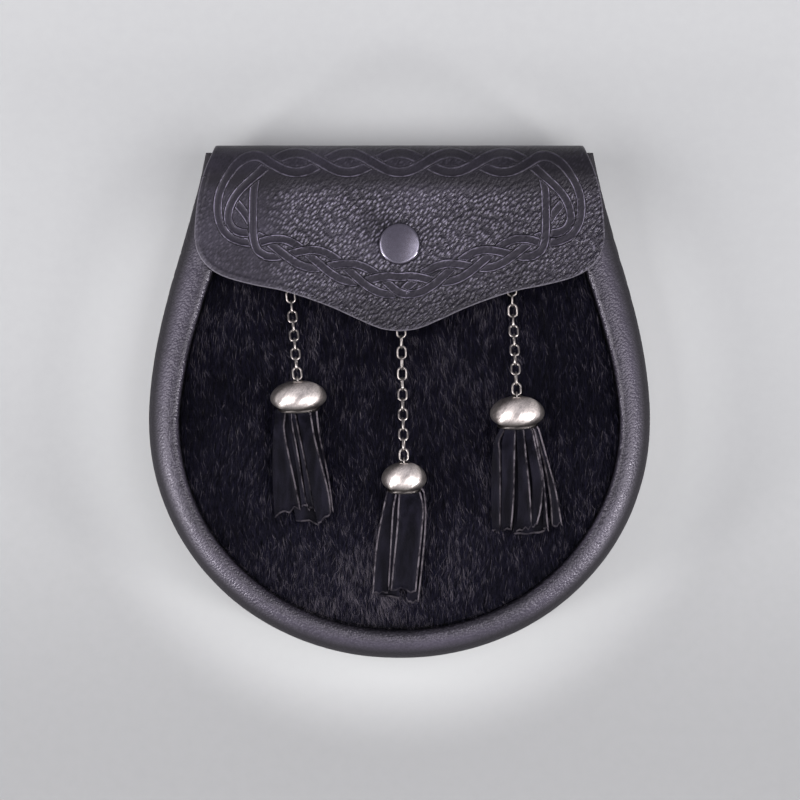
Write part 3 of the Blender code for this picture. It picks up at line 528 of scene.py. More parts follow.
def strip_leather():
    """Thin dyed leather of the tassel strips, with a pale raw cut edge."""
    n = Nodes("strip_leather")
    cut, place = n.value("cut"), n.place()
    fine, patches = n.noise(place, 1900, 4, 0.6), n.noise(place, 230, 4, 0.65)
    streaks = n.noise(n.place((1.0, 0.22, 1.0)), 240, 3, 0.5)
    face = n.mix(n.spread(streaks, 0.34, 0.66), (2, 2, 5), (15, 14, 22))
    raw = n.mix(n.spread(patches, 0.35, 0.65), (20, 18, 23), (96, 90, 96))
    return n.set(base_color=n.mix(cut, face, raw), ior=1.14, specular_tint=SHEEN_TINT,
                 roughness=n.total((n.spread(fine, 0.3, 0.7, 0.46, 0.56), 1), (cut, 0.25)),
                 normal=n.bump(n.total((n.cells(place, 1300), -0.5), (fine, 1)), 0.00014))


def hide_skin():
    """Dark hide under the hair."""
    n = Nodes("hide_skin")
    streaks = n.noise(n.place((1.0, 0.22, 1.0)), 420, 5, 0.65)
    return n.set(base_color=n.mix(n.spread(streaks, 0.3, 0.75), (2, 2, 3), (9, 8, 10)), roughness=0.85, ior=1.25,
                 normal=n.bump(streaks, 0.0005))


def hair():
    """Short hair: blue-black, with brownish grey locks and dark roots."""
    n = Nodes("hair")
    tone = n.value("tone")
    colour = n.mix(n.spread(tone, 0.05, 0.55), (1, 1, 4), (13, 12, 26))
    colour = n.mix(n.spread(tone, 0.55, 0.95), colour, (82, 77, 83))
    colour = n.mix(n.spread(n.value("along"), 0.0, 0.5, 0.7, 0.0), colour, (1, 1, 2))
    return n.set(base_color=colour, roughness=0.5, ior=1.23, specular_tint=HAIR_TINT)


def pewter():
    """Brushed and rubbed pewter: warm grey, darker in its brush lines, with painted shade inside the cap and a
    painted dark reflection round its foot, bead and the lip of its hole where the low value is set.
    """
    n = Nodes("pewter")
    brush = n.noise(n.place((0.12, 1.6, 1.0), 58), 1500, 4, 0.6)
    shade = n.total((n.noise(n.place(), 420, 5, 0.65), 0.45), (brush, 0.55))
    colour = n.mix(n.spread(shade, 0.32, 0.66), (172, 162, 158), (238, 228, 223))
    # the low value mixes towards near black: painted shade inside, painted dark reflection of the hair round the foot
    return n.set(base_color=n.mix(n.value("low"), colour, (26, 23, 24)), metallic=0.94, anisotropic=0.92,
                 roughness=n.spread(shade, 0.3, 0.7, 0.40, 0.31), normal=n.bump(shade, 0.00008),
                 tangent=n.new("ShaderNodeCombineXYZ", x=0.34, y=0.94, z=0.0))


def dark_metal(name, low, high, rough, depth):
    """Dark plated wire or sheet, brighter where it is rubbed."""
    n = Nodes(name)
    scuffs = n.noise(n.place((1.0, 0.2, 1.0), 20), 3200, 3, 0.6)
    shade = n.total((n.noise(n.place(), 900, 4, 0.6), 0.6), (scuffs, 0.4))
    return n.set(base_color=n.mix(n.spread(shade, 0.3, 0.7), low, high), metallic=1.0,
                 roughness=n.spread(shade, 0.3, 0.7, *rough), normal=n.bump(shade, depth))


def thread():
    n = Nodes("waxed_thread")
    twist = n.noise(n.place(turn=30), 3800, 3, 0.6)
    return n.set(base_color=n.mix(n.spread(twist, 0.3, 0.7), (22, 21, 25), (52, 50, 56)), roughness=0.62,
                 normal=n.bump(twist, 0.00012))


def floor_finish():
    """Pale paper, with painted shade towards the pouch's foot against the lamps' brighter light there, and a painted
    pool of light in a halo round the middle that fills the pouch's cast shadow.
    """
    n = Nodes("pale_paper")
    shade = n.total((n.noise(n.place(), 240, 4, 0.55), 0.5), (n.noise(n.place(), 3, 2, 0.5), 0.5))
    tint = n.mix(n.spread(shade, 0.3, 0.7), (FLOOR_GREY, FLOOR_GREY, FLOOR_GREY + 1),
                 (FLOOR_GREY + 3, FLOOR_GREY + 3, FLOOR_GREY + 4))
    upper = n.new("ShaderNodeSeparateXYZ", 1, vector=n.place())
    # painted shade: darker towards the pouch's foot, to even out the lamps' brighter light on that side
    tint = n.mix(n.spread(upper, -0.14, 0.05), n.mix(0.34, tint, (0, 0, 0)), tint)
    apart = n.new("ShaderNodeVectorMath", 1, {"operation": "LENGTH"}, vector=n.place())
    # painted light: a paler halo round the pouch that fills its cast shadow
    tint = n.mix(n.spread(apart, 0.086, 0.130, 0.20, 0.0), tint, (255, 255, 255))
    return n.set(base_color=tint, roughness=0.95)


CHAIN = dark_metal("dark_nickel", (84, 80, 80), (172, 164, 160), (0.40, 0.26), 0.00004)
GUNMETAL = dark_metal("gunmetal", (92, 88, 99), (105, 101, 113), (0.27, 0.25), 0.000001)
BACK = back_leather()


# Gusset

GUSSET_STATIONS = 240
RIM_EDGE_FLAT = 0.90
WALL_WAVE = 0.10
CREASE_DEPTHS = (0.02, 0.16)


def gusset_skin(front, back, height):
    """Outside of the gusset's section: (distance inward, height) from the back land round to the front lip."""
    roll, corner, shoulder = ROLL_RADIUS, BACK_CORNER_RADIUS, height - SHOULDER_DROP
    across = front - roll
    return np.vstack([
        np.linspace((back, BACK_RECESS + BACK_LEATHER + CLEARANCE), (back, roll), 7),
        arc((back - roll, roll), (roll, roll), 0, -90, 8)[1:-1],
        np.linspace((back - roll, 0.0), (corner, 0.0), 6),
        arc((corner, corner), (corner, corner), -90, -180, 8)[1:],
        np.linspace((0.0, corner), (0.0, shoulder), 13)[1:-1],
        arc((across, shoulder), (across, SHOULDER_DROP), 180, 90, 19)[:-1],
        arc((across, height - roll), (roll, roll), 90, 0, 16),
        np.linspace((front, height - roll), (front, height - FRONT_LIP), 7)[1:],
    ])


def build_gusset():
    """Swept leather wall with a rounded front roll, its end tucked under the flap's fold."""
    half = np.linspace(0, 1, GUSSET_STATIONS)
    edge, inward = outline_frame(half)
    rows = []
    for share, place, into in zip(half, edge, inward):
        section = gusset_skin(float(blend_sizes(share, RIM_SIZES)), float(blend_sizes(share, BACK_RIM_SIZES)),
                              float(crest_height(place[1])))
        rows.append(np.column_stack([place + into * section[:, :1], section[:, 1]]))
    right = np.array(rows)
    count = right.shape[1]
    points = np.concatenate([right, right[::-1][1:] * [-1, 1, 1]])
    normal = unit(np.cross(np.gradient(points, axis=0), np.gradient(points, axis=1)))
    if normal[GUSSET_STATIONS // 2, count // 2 + 5, 0] < 0:
        normal = -normal
    # shallow waves, and creases that are deepest at the upper sides; the foot stays flat
    x, y, z = points.reshape(-1, 3).T
    wave = lattice_noise(np.column_stack([x, y, z * 0.7]), 0.016, 5)
    slanted = np.column_stack([x * 0.77 + y * 0.64, (y * 0.77 - x * 0.64) * 0.22, z * 0.3])
    crease = ramp(0.18 - np.abs(lattice_noise(slanted, 0.0040, 11)), 0.18)
    upper = ramp(y - 0.018, 0.03) * ramp(0.085 - y, 0.03)
    lift = (wave * WALL_WAVE - crease * (CREASE_DEPTHS[0] + CREASE_DEPTHS[1] * upper)) * MM * ramp(z, 0.004)
    points = points + normal * lift.reshape(points.shape[:2])[..., None]
    # the end of the wall follows the inside of the flap's fold
    fold_y, fold_z, fold_angle = flap_fold(12, 20)[TAB_STEPS:].T
    limit_y = np.interp(points[..., 2], fold_z, fold_y - FOLD_GAP * np.cos(fold_angle))
    points[..., 1] = np.minimum(points[..., 1], limit_y)
    # lighter along the crest, partly rubbed wear and partly painted sheen, and a painted highlight on the inner roll
    # at the sides, where it faces the side lamps
    crest = int(np.argmax(points[GUSSET_STATIONS - 1, :, 2]))
    past = np.arange(count)[None] - crest
    wear = bell(past + 6, 6.0) + 0.75 * bell(past - 8, 3.5) * np.abs(normal[:, count // 3, :1])
    # painted shade down the outer wall, darkest where it turns furthest from the camera; none past the crest
    side = ramp(RIM_EDGE_FLAT - normal[..., 2], 0.35)
    side[:, crest:] = 0.0
    inner = points - normal * (GUSSET_LEATHER - 0.0002)
    shell = Shell()
    shell.grid(points, wear=wear, side=side)
    shell.grid(inner[:, ::3], flip=True, wear=0.0)
    for axis, rub_and_sheen in ((1, 0.0), (0, 0.6)):
        for line in (0, -1):
            shell.edge_band((points, inner), axis, line, wear=rub_and_sheen)
    item = shell.build("gusset_leather", rim_leather())
    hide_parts("gusset")


# Flap. Its interlace is laid out in the picture's frame, in pixels

PIXEL = 0.00036
PICTURE_MIDDLE = 399.5
PICTURE_MIDDLE_Y = 401.6
BAND_LINE = ((399.5, 289.0), (366, 278.8), (323, 262.8), (286, 251), (262, 245.5))
BAND_PERIOD = 114.0
BAND_AMPLITUDE = 10.3
TOP_BAND_Y = 166.0
TOP_BAND_PERIOD = 103.0
TOP_BAND_AMPLITUDE = 8.0
BAND_END = 262.0
TOP_BAND_END = 270.75
# Corner strands on the left: each point's x, y and whether it passes over (1) or under (-1) what it crosses
CORNER_STRANDS = (
    ((279.75, 170.2, 1), (270.75, 166, 1), (258, 160.5, 1), (245, 162.5, 1), (233, 171, 1), (224, 184, 1),
     (219, 199, 1), (218.5, 214, -1), (222, 227, -1), (229, 236.5, 1), (239, 241.5, 1), (250, 243.6, -1),
     (262, 242.7, 0.5), (268, 241, 0.5)),
    ((279.75, 161.8, -1), (270.75, 166, -1), (259.5, 174, -1), (247, 184.5, 1), (236.5, 196, 1), (230, 209, 1),
     (229, 221, 1), (233.5, 229.5, 1), (241, 233.3, 1), (252, 235, -1), (262, 238.3, -1), (268, 242.5, -1)),
    ((256, 180, -1), (254.2, 192, -1), (253.6, 210, 1), (253.6, 228, 1), (254.5, 241, 1), (257.5, 250, 1),
     (262, 254.2, 1), (268, 257.2, 0.5)),
    ((233.5, 200.5, -1), (240, 207.5, -1), (246, 215, -1), (251, 223, -1)),
)
JOINT_RUN = 9.0
STRAND_HALF = 1.30 * MM
STRAND_REACH = 1.95 * MM
UNDER_ALL = -9.0
EDGE_NEAR = 0.006
STAMP_TOP_Y = 0.0835
GRAIN_TOP_Y = 0.0815
FOLD_FOOT_Y = 0.0797
TIP_TOP_Y = 0.048
BEAD_HEIGHT = 0.10
BEAD_WIDTH = 0.32 * MM
STAMP_DEPTH = 0.22
STAMP_RADIUS = 1.05 * MM
EDGE_RIDGE = 0.16
EDGE_RIDGE_IN = 1.5 * MM
EDGE_RIDGE_WIDTH = 0.55 * MM
EDGE_ROLL = 1.1 * MM
EDGE_ROLL_DROP = 0.55
EDGE_CUT = 0.40 * MM
FLAP_SLACK = 0.05
SHADE_FOLD = (0.88, 0.0036)
SHADE_RIGHT = (0.46, 0.010, 0.045)
SHADE_TIP = (0.70, 0.014)
DARKEST_SHADE = 0.92
LEFT_GRAIN = 0.17
FOLD_GRAIN = 0.16
STAMPED_GRAIN_LOSS = 0.9


def px(x, y):
    """Place on the front, in metres, of a point in the picture's frame."""
    return (x - PICTURE_MIDDLE) * PIXEL, (PICTURE_MIDDLE_Y - y) * PIXEL


def smooth_line(points, step=0.35):
    """Evenly spaced points on a smooth curve through points."""
    points = np.asarray(points, float)
    padded = np.vstack([2 * points[0] - points[1], points, 2 * points[-1] - points[-2]])
    out = []
    for index in range(1, len(padded) - 2):
        a, b, c, d = padded[index - 1:index + 3]
        count = max(int(np.linalg.norm(c - b) / step), 2)
        t = (np.arange(count) / count)[:, None]
        out.append(0.5 * (2 * b + (c - a) * t + (2 * a - 5 * b + 4 * c - d) * t ** 2
                          + (3 * b - a - 3 * c + d) * t ** 3))
    return np.vstack([*out, points[-1]])


def strand_points():
    """Centre lines of all stamped strands: (x, y, rank) in picture pixels, both halves, low at their ends."""
    line_x, line_y = np.array(BAND_LINE)[::-1].T
    xs = np.arange(BAND_END, PICTURE_MIDDLE + JOINT_RUN, 0.5)
    middle = np.interp(np.minimum(xs, 2 * PICTURE_MIDDLE - xs), line_x, line_y)
    smooth = np.convolve(np.pad(middle, 12, "edge"), np.ones(25) / 25, "valid")
    smooth = np.where(xs < BAND_END + 8, middle, smooth)
    strands = []
    for phase in range(3):
        angle = 2 * math.pi * ((PICTURE_MIDDLE - xs) / BAND_PERIOD + phase / 3)
        strands.append(np.column_stack([xs, smooth - BAND_AMPLITUDE * np.cos(angle), np.sin(2 * angle) + 0.01]))
    tops = np.arange(TOP_BAND_END, PICTURE_MIDDLE + JOINT_RUN, 0.5)
    for phase in range(2):
        angle = 2 * math.pi * ((PICTURE_MIDDLE - tops) / TOP_BAND_PERIOD + phase / 2)
        strands.append(np.column_stack([tops, TOP_BAND_Y + TOP_BAND_AMPLITUDE * np.cos(angle),
                                        np.sin(angle) + 0.01]))
    for rows in CORNER_STRANDS:
        rows = np.array(rows, float)
        places = smooth_line(rows[:, :2])
        share = np.linspace(0, len(rows) - 1, len(places))
        strands.append(np.column_stack([places, np.interp(share, np.arange(len(rows)), rows[:, 2])]))
    for strand in strands:
        run = run_along(strand[:, :2])
        strand[:, 2] -= 5 * np.clip(1 - np.minimum(run, run[-1] - run) / 3.0, 0, 1)
    mirrored = []
    for strand in strands:
        twin = strand[strand[:, 0] < PICTURE_MIDDLE + 0.5] * [-1, 1, 1] + [2 * PICTURE_MIDDLE, 0, 0]
        twin[twin[:, 0] < PICTURE_MIDDLE + JOINT_RUN, 2] -= 2
        mirrored.append(twin)
    return strands + mirrored


def strand_field(x, y):
    """Distance in metres to the middle line of the strand on top at each place."""
    flat = np.column_stack([x.ravel(), y.ravel()])
    best, distance = np.full(len(flat), UNDER_ALL), np.full(len(flat), 1.0)
    for strand in strand_points():
        line = np.column_stack(px(strand[:, 0], strand[:, 1]))
        near = ((flat > line.min(0) - STRAND_REACH) & (flat < line.max(0) + STRAND_REACH)).all(1)
        index = np.nonzero(near)[0]
        for start in range(0, len(index), 4000):
            part = index[start:start + 4000]
            gap = ((flat[part, None] - line) ** 2).sum(2)
            nearest = gap.argmin(1)
            reach = np.sqrt(gap[np.arange(len(part)), nearest])
            rank = np.where(reach < STRAND_REACH, strand[nearest, 2], UNDER_ALL)
            take = rank > best[part]
            best[part[take]] = rank[take]
            distance[part[take]] = reach[take]
    return distance.reshape(x.shape)


def flap_boundary():
    """Tree of points on the edge of the flap's front, in XY."""
    column = np.concatenate([np.linspace(-1, -0.9, 160), np.linspace(-0.9, 0.9, 700), np.linspace(0.9, 1, 160)])
    low = flap_edge_y(column)
    ys = np.linspace(low[0], TOP_Y - 0.012, 160)
    side = flap_half_width(ys, 1.0)
    points = np.vstack([np.column_stack([-side, ys]), np.column_stack([column * flap_half_width(low, 1.0), low]),
                        np.column_stack([side, ys])])
    tree = KDTree(len(points))
    for number, point in enumerate(points):
        tree.insert((*point, 0), number)
    tree.balance()
    return tree


def build_flap():
    """Sheet of leather over the top, with its stamped border, rolled cut edge and pebbled field."""
    columns, front_rows, fold_steps = ((406, 165, 44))
    c = np.linspace(-1, 1, columns)
    c = np.sign(c) * (1 - (1 - np.abs(c)) ** 1.06)
    fold = flap_fold(8, fold_steps)
    fold = np.vstack([fold[:TAB_STEPS:4], fold[TAB_STEPS:]])
    rows = [np.array([c * flap_half_width(y, angle), *np.full((3, columns), [[y], [z], [angle]])])
            for y, z, angle in fold]
    low, start = flap_edge_y(c), fold[-1][0]
    for share in np.arange(1, front_rows + 1) / front_rows:
        y = start + (low - start) * share
        x = c * flap_half_width(y, 1.0)
        rows.append(np.array([x, y, flap_underside(x, y), math.pi / 2 - crest_slope(y)]))
    x, y, z, angle = np.array(rows).transpose(1, 0, 2)
    inner = np.stack([x, y, z], -1)
    normal = np.stack([np.zeros_like(angle), np.cos(angle), np.sin(angle)], -1)
    front = np.sin(angle) > 0.25
    gap = flap_half_width(y, angle) - np.abs(x)
    near = (angle > 1.0) & ((gap < EDGE_NEAR) | (y - low < EDGE_NEAR))
    near[:len(fold)] = False
    tree = flap_boundary()
    for row, column in np.argwhere(near):
        gap[row, column] = tree.find((x[row, column], y[row, column], 0))[2]
    gap = np.maximum(gap, 0)
    distance = np.where(front, strand_field(x, y), 1.0)
    inside = np.clip(1 - (distance / STAMP_RADIUS) ** 4, 0, 1)
    bead = bell(distance - STRAND_HALF, BEAD_WIDTH)
    relief = (BEAD_HEIGHT * bead - STAMP_DEPTH * inside) * ramp(STAMP_TOP_Y - y, 0.006, 0.5)
    roll = np.clip(1 - gap / EDGE_ROLL, 0, 1)
    edge = (EDGE_RIDGE * bell(gap - EDGE_RIDGE_IN, EDGE_RIDGE_WIDTH) * front
            - EDGE_ROLL_DROP * (1 - np.sqrt(1 - roll ** 2)))
    slack = FLAP_SLACK * lattice_noise(np.stack([x, y], -1), 0.012, 3)
    outer = inner + normal * (FLAP_LEATHER + (relief + edge + slack) * MM)[..., None]
    # grain fades on the left margin, over the fold and in the strands; the foot of the fold, the right side and the
    # tip get painted shade
    grain = LEFT_GRAIN + (1 - LEFT_GRAIN) * ramp(x + 0.33 * FLAP_WIDTH, 0.012)
    grain = grain * ramp(GRAIN_TOP_Y - y, 0.008, FOLD_GRAIN)
    grain *= np.where(front, 1, 0.5) * (1 - STAMPED_GRAIN_LOSS * np.clip(inside + 0.7 * bead, 0, 1))
    (fold_dark, fold_run), (right_dark, right_x, right_run), (tip_dark, tip_run) = SHADE_FOLD, SHADE_RIGHT, SHADE_TIP
    shade = (fold_dark * bell(y - FOLD_FOOT_Y, fold_run) + right_dark * ramp(x - right_x, right_run)
             + tip_dark * ramp(TIP_TOP_Y - y, tip_run))
    shell = Shell()
    shell.grid(outer, flip=True, grain=grain, cut=np.clip(1 - gap / EDGE_CUT, 0, 1) * 0.8,
               reach=np.minimum(distance / MM, 3.0), press=ramp(STAMP_TOP_Y - y, 0.006, 0.24),
               shade=np.clip(shade, 0, DARKEST_SHADE))
    skip_rows, skip_columns = (sorted({*range(0, size, step), size - 1}) for size, step in
                               ((len(outer), 6), (columns, 8)))
    shell.grid(inner[np.ix_(skip_rows, skip_columns)], grain=0.1, cut=0.0, reach=3.0)
    for axis in (1, 0):
        for line in (0, -1):
            shell.edge_band((outer, (outer + inner) / 2, inner), axis, line, grain=0.0, cut=0.85, reach=3.0)
    item = shell.build("flap_leather", flap_leather())
    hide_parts("flap")


# Press stud

SNAP_ROUND = 0.00115
SNAP_ROUND_RISE = 0.00072
SNAP_FACE_IN = 0.00112
SNAP_CHAMFER = 0.0002
SNAP_CROWN = 0.00043
SNAP_CAP_HEIGHT = 0.0023
SNAP_POST = 0.0018
SNAP_SOCKET = ((0.0026, 0.0055), (0.0030, 0.0022))  # bore and outer radius, height and bore's depth
CENTRE = 1e-5


def frame_at(origin, up, forward):
    z_axis = Vector(up).normalized()
    x_axis = Vector(forward).cross(z_axis).normalized()
    matrix = Matrix((x_axis, z_axis.cross(x_axis), z_axis)).transposed().to_4x4()
    matrix.translation = Vector(origin)
    return matrix


def build_snap():
    """Press stud's cap and socket, with a rounded shoulder and a nearly flat face."""
    y = TOP_Y - SNAP_DOWN_FLAP
    lean = float(crest_slope(y))
    place = frame_at((0, y, float(flap_underside(0, y))), (0, math.sin(lean), math.cos(lean)), (0, 1, 0))
    cap, top = SNAP_CAP_DIAMETER / 2, FLAP_LEATHER + CLEARANCE
    share = 1 - np.arange(1, 15) / 14
    face = np.column_stack([np.maximum((cap - SNAP_FACE_IN) * share, CENTRE),
                            top + SNAP_CAP_HEIGHT - SNAP_CROWN * share ** 2])
    shoulder = arc((cap - SNAP_ROUND, top + SNAP_ROUND_RISE), (SNAP_ROUND, SNAP_ROUND), -30, 88, 14)
    under = [(SNAP_POST, top - 0.003), (SNAP_POST, top), (cap * 0.90, top), (cap * 0.955, top + 0.00005)]
    shell = Shell()
    shell.turned(np.vstack([under, shoulder, face]), 96, place)
    (inner, outer), (height, depth) = SNAP_SOCKET
    end = -CLEARANCE - height
    bore = end + depth
    shell.turned([(CENTRE, bore), (inner, bore), (inner, end), (outer - SNAP_CHAMFER, end),
                  (outer, end + SNAP_CHAMFER), (outer, -CLEARANCE), (SNAP_POST, -CLEARANCE), (SNAP_POST, 0.001)],
                 48, place)
    item = shell.build("snap_cap", GUNMETAL)
    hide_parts("snap_button")


# Chains and caps. The caps lie flatter and straighter than the frame's, as the picture shows them

CAP_WIDEST = 0.57
CAP_MOUTH = 0.70
CAP_STRETCH = 1.17
CAP_SPREAD = 1.04
CAP_LIFT = math.radians(9)
CAP_TURN = 0.3
CAP_BEAD = 0.00068
CAP_LIP = 0.0003
CAP_LIP_RISE = 0.00025
# painted shade inside the cap and painted dark reflection on its bead, foot and the lip of its hole, as shares of
# near black
CAP_PAINTED_SHADE = {"inside": 0.9, "bead": 0.92, "foot": 0.90, "foot_run": 0.36, "lip": 0.5}
LINK_TILT = 9


def lying(heading):
    """Direction down the front at a heading, dipping by the caps' lift, and the level one."""
    level = Vector((math.sin(heading), -math.cos(heading), 0))
    return level * math.cos(CAP_LIFT) - Vector((0, 0, math.sin(CAP_LIFT))), level


def tassel_layout(row):
    tassel = dict(zip(TASSEL_COLUMNS, row))
    heading = math.radians(tassel["cap_heading"])
    down, level = lying(heading)
    top = Vector((tassel["cap_top_x"], tassel["cap_top_y"], 0))
    rim = top + down * tassel["cap_length"]
    rim_height = (float(hair_height(rim.x, rim.y)) + CLEARANCE
                  + tassel["cap_diameter"] / 2 * math.cos(CAP_LIFT))
    top.z = rim_height + tassel["cap_length"] * math.sin(CAP_LIFT)
    tassel["top"], tassel["down"], tassel["level"] = top, down, level
    tassel["frame"] = frame_at(top, lying(heading * CAP_TURN)[0], (0, 0, 1))
    return tassel


def chain_places(tassel):
    """Centre and direction of each link from the staple to the cap."""
    heading = math.radians(tassel["chain_heading"])
    top = tassel["top"]
    rest = CLEARANCE + LINK_WIDTH / 2
    rise = top.z - float(hair_height(top.x, top.y)) - rest

    def route(distance):
        x, y = top.x + math.sin(heading) * distance, top.y + math.cos(heading) * distance
        lift = max(1 - distance / CHAIN_LIFT_RUN, 0.0)
        return Vector((x, y, float(hair_height(x, y)) + rest + rise * lift ** 2 * (3 - 2 * lift)))

    def walk(distance, length):
        point = route(distance)
        while length > 0:
            distance += LINK_WIRE / 20
            follow = route(distance)
            length -= (follow - point).length
            point = follow
        return distance

    wire_gap = RING_DIAMETER / 2 - RING_WIRE - LINK_WIRE / 2 - CLEARANCE
    places, distance = [], walk(0.0, wire_gap + (LINK_LENGTH - LINK_WIRE) / 2)
    for _ in range(tassel["links"]):
        along = (route(distance + LINK_WIRE) - route(distance - LINK_WIRE)).normalized()
        places.append((route(distance), along))
        distance = walk(distance, LINK_LENGTH - 2 * LINK_WIRE + LINK_FUSE)
    return list(reversed(places))


def build_chain(tassel):
    """Cable chain of slightly uneven oval links, every second link on edge."""
    shell = Shell()
    steps, sides = ((14, 10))
    radius, straight = (LINK_WIDTH - LINK_WIRE) / 2, (LINK_LENGTH - LINK_WIDTH) / 2
    for index, (centre, along) in enumerate(chain_places(tassel)):
        level = along.cross(Vector((0, 0, 1))).normalized()
        across = along.cross(level) if index % 2 == 0 else level
        tilt = Matrix.Rotation(math.radians(float(RNG.uniform(-LINK_TILT, LINK_TILT))), 3, along)
        across = tilt @ across
        turns = [(end, math.pi * (step + 0.5) / steps) for end in (1, -1) for step in range(steps)]
        path = [centre + along * end * (straight + radius * math.sin(angle))
                + across * end * radius * math.cos(angle) for end, angle in turns]
        shell.tube(path, LINK_WIRE / 2, sides, closed=True)
    item = shell.build("chain_links_" + tassel["side"], CHAIN)
    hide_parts("chain_" + tassel["side"])


def build_cap(tassel, material):
    """Domed pewter cap with a bead rolled round its mouth and a lipped hole for the ring."""
    radius, length = tassel["cap_diameter"] / 2 * CAP_SPREAD, tassel["cap_length"] * CAP_STRETCH
    last, tuck = math.acos(CAP_HOLE / 2 / (radius - 0.0002)), math.acos(CAP_MOUTH)
    widest = length * CAP_WIDEST
    below = (length - 1.6 * CAP_BEAD - widest) / math.sin(tuck)

    def skin(angles, depth):
        """Cap's wall by angles above its widest ring, set in by a depth."""
        up = angles > 0
        return np.column_stack([(radius - depth) * np.cos(angles),
                                widest + (depth * up - np.where(up, widest, below)) * np.sin(angles)])

    inner, outer = np.linspace(last, -tuck, 14), np.linspace(-tuck, last, 42)
    bead = arc((radius * CAP_MOUTH - 0.0002, length - CAP_BEAD), (CAP_BEAD, CAP_BEAD), 170, -130, 12)
    wall = skin(outer, 0.0001)
    step = np.linspace(0, 1, 5)
    lip = np.column_stack([wall[-1, 0] - CAP_LIP * (1 + step - np.cos(math.pi / 2 * (1 - step))),
                           wall[-1, 1] - CAP_LIP_RISE * np.sin(math.pi * step)])
    # painted shade and painted dark reflection, carried to the pewter by the low value
    tones = CAP_PAINTED_SHADE
    low = np.concatenate([np.full(len(inner), tones["inside"]), np.full(len(bead), tones["bead"]),
                          tones["foot"] * bell(outer + tuck, tones["foot_run"]), np.full(len(lip), tones["lip"])])
    shell = Shell()
    shell.turned(np.vstack([skin(inner, CAP_WALL), bead, wall, lip]), 96, tassel["frame"], low=low)
    item = shell.build("cap_" + tassel["side"], material)
    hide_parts("tassel_cap_" + tassel["side"])


# Strips of each tassel: layer, whether the left and right edges curl up, then the left and right edges from
# the cap's mouth to the free end, as x and y in picture pixels
TASSEL_STRIPS = {
    "left": (
        (0, 0, 0, (284, 413, 286, 440, 290, 480, 296, 519), (300, 413, 304, 440, 312, 480, 319, 523)),
        (1, 0, 1, (277, 411, 273.5, 436, 273, 476, 275, 515), (286, 412, 284.5, 429, 288, 450, 295.5, 485, 300, 507)),
        (1, 0, 1, (306, 413, 313, 440, 321, 480, 325, 508), (317, 411, 320, 436, 329, 480, 333, 510)),
        (2, 0, 1, (289, 414, 290, 430, 295, 455, 302, 505), (292.5, 414, 293, 426, 297, 448, 303.5, 487, 308, 507)),
        (2, 0, 1, (291, 414, 295, 430, 301, 458, 308, 508), (296, 414, 298, 426, 303, 450, 311, 488, 315, 509)),
        (3, 0, 1, (298, 414, 301, 432, 306, 458, 314, 503, 318, 521),
         (311, 413, 312.5, 424, 316, 443, 328, 490, 331, 515)),
    ),
    "middle": (
        (0, 0, 0, (390, 494, 386, 530, 382, 565, 380, 597), (403, 494, 402, 530, 401, 565, 399, 598)),
        (1, 1, 0, (387, 492, 380, 526, 376, 553, 373, 594), (396, 493, 393, 526, 390, 560, 388, 590)),
        (1, 0, 1, (413, 494, 413, 530, 410, 570, 406, 599), (424, 492, 425.5, 512, 424, 543, 418, 601)),
        (2, 1, 0, (396, 494, 393.5, 507, 392, 526, 388.5, 588), (400, 494, 398, 520, 395, 560, 392, 589)),
        (3, 1, 1, (399.5, 494, 398.5, 507, 397.5, 526, 391.5, 588), (420, 493, 423, 507, 421.5, 530, 415.5, 590)),
    ),
    "right": (
        (0, 0, 0, (504, 432, 506, 460, 510, 500, 514, 534), (528, 432, 531, 460, 538, 500, 545, 532)),
        (1, 0, 1, (500, 428, 493, 447, 491, 490, 492, 530), (504, 430, 498.5, 441, 499.5, 455, 500, 495, 499.5, 532)),
        (1, 1, 1, (534, 430, 542, 455, 549, 490, 552, 524), (538, 429, 545, 453, 555, 489.5, 561, 523)),
        (2, 0, 1, (504, 431, 501.5, 446, 501.5, 490, 501, 529), (514.5, 431, 514, 452, 513.2, 495, 510.5, 531)),
        (2, 0, 1, (526, 431, 533, 450, 541, 480, 543, 528), (534, 431, 537.5, 447, 543, 479, 547.5, 528)),
        (3, 0, 1, (516, 431, 517, 452, 518, 495, 516, 531), (523, 431, 525, 452, 529, 490, 531, 526)),
        (3, 0, 1, (524, 431, 527, 450, 532, 485, 530, 525),
         (531.5, 431, 534.5, 444, 541.5, 478.5, 540.5, 505, 536, 525)),
    ),
}
STRIP_THICK = 0.00085
STRIP_KNOTS = 15
LAYER_RISE = 0.00075
LAYER_HANG = 0.00115
CURL_RUN = 0.0011
CURL_RISE = 0.00060
CURL_TILT = 0.72
END_CURL_RUN = 0.0020
END_CURL_RISE = 0.00050
END_RAGGED = 0.0009
END_LEAN = 0.85
ROOT_STEP = 0.0016
ROOT_PINCH = 0.13
FALL_START = 0.0048
HANG_BELOW_MIDDLE = 0.0020
LIE_GAP = 0.0001
STRIP_WAVE = 0.0004
STRIP_CAMBER = 0.00012
CUT_TONES = {"curled": 0.85, "flat": 0.25, "end": 0.30, "under": 0.1}
HEAD = ((CENTRE, 0.0034), (0.0036, 0.0034), (0.0039, 0.0038), (0.0039, 0.0082), (0.0036, 0.0086), (CENTRE, 0.0086))
RING_STEM = 0.0005


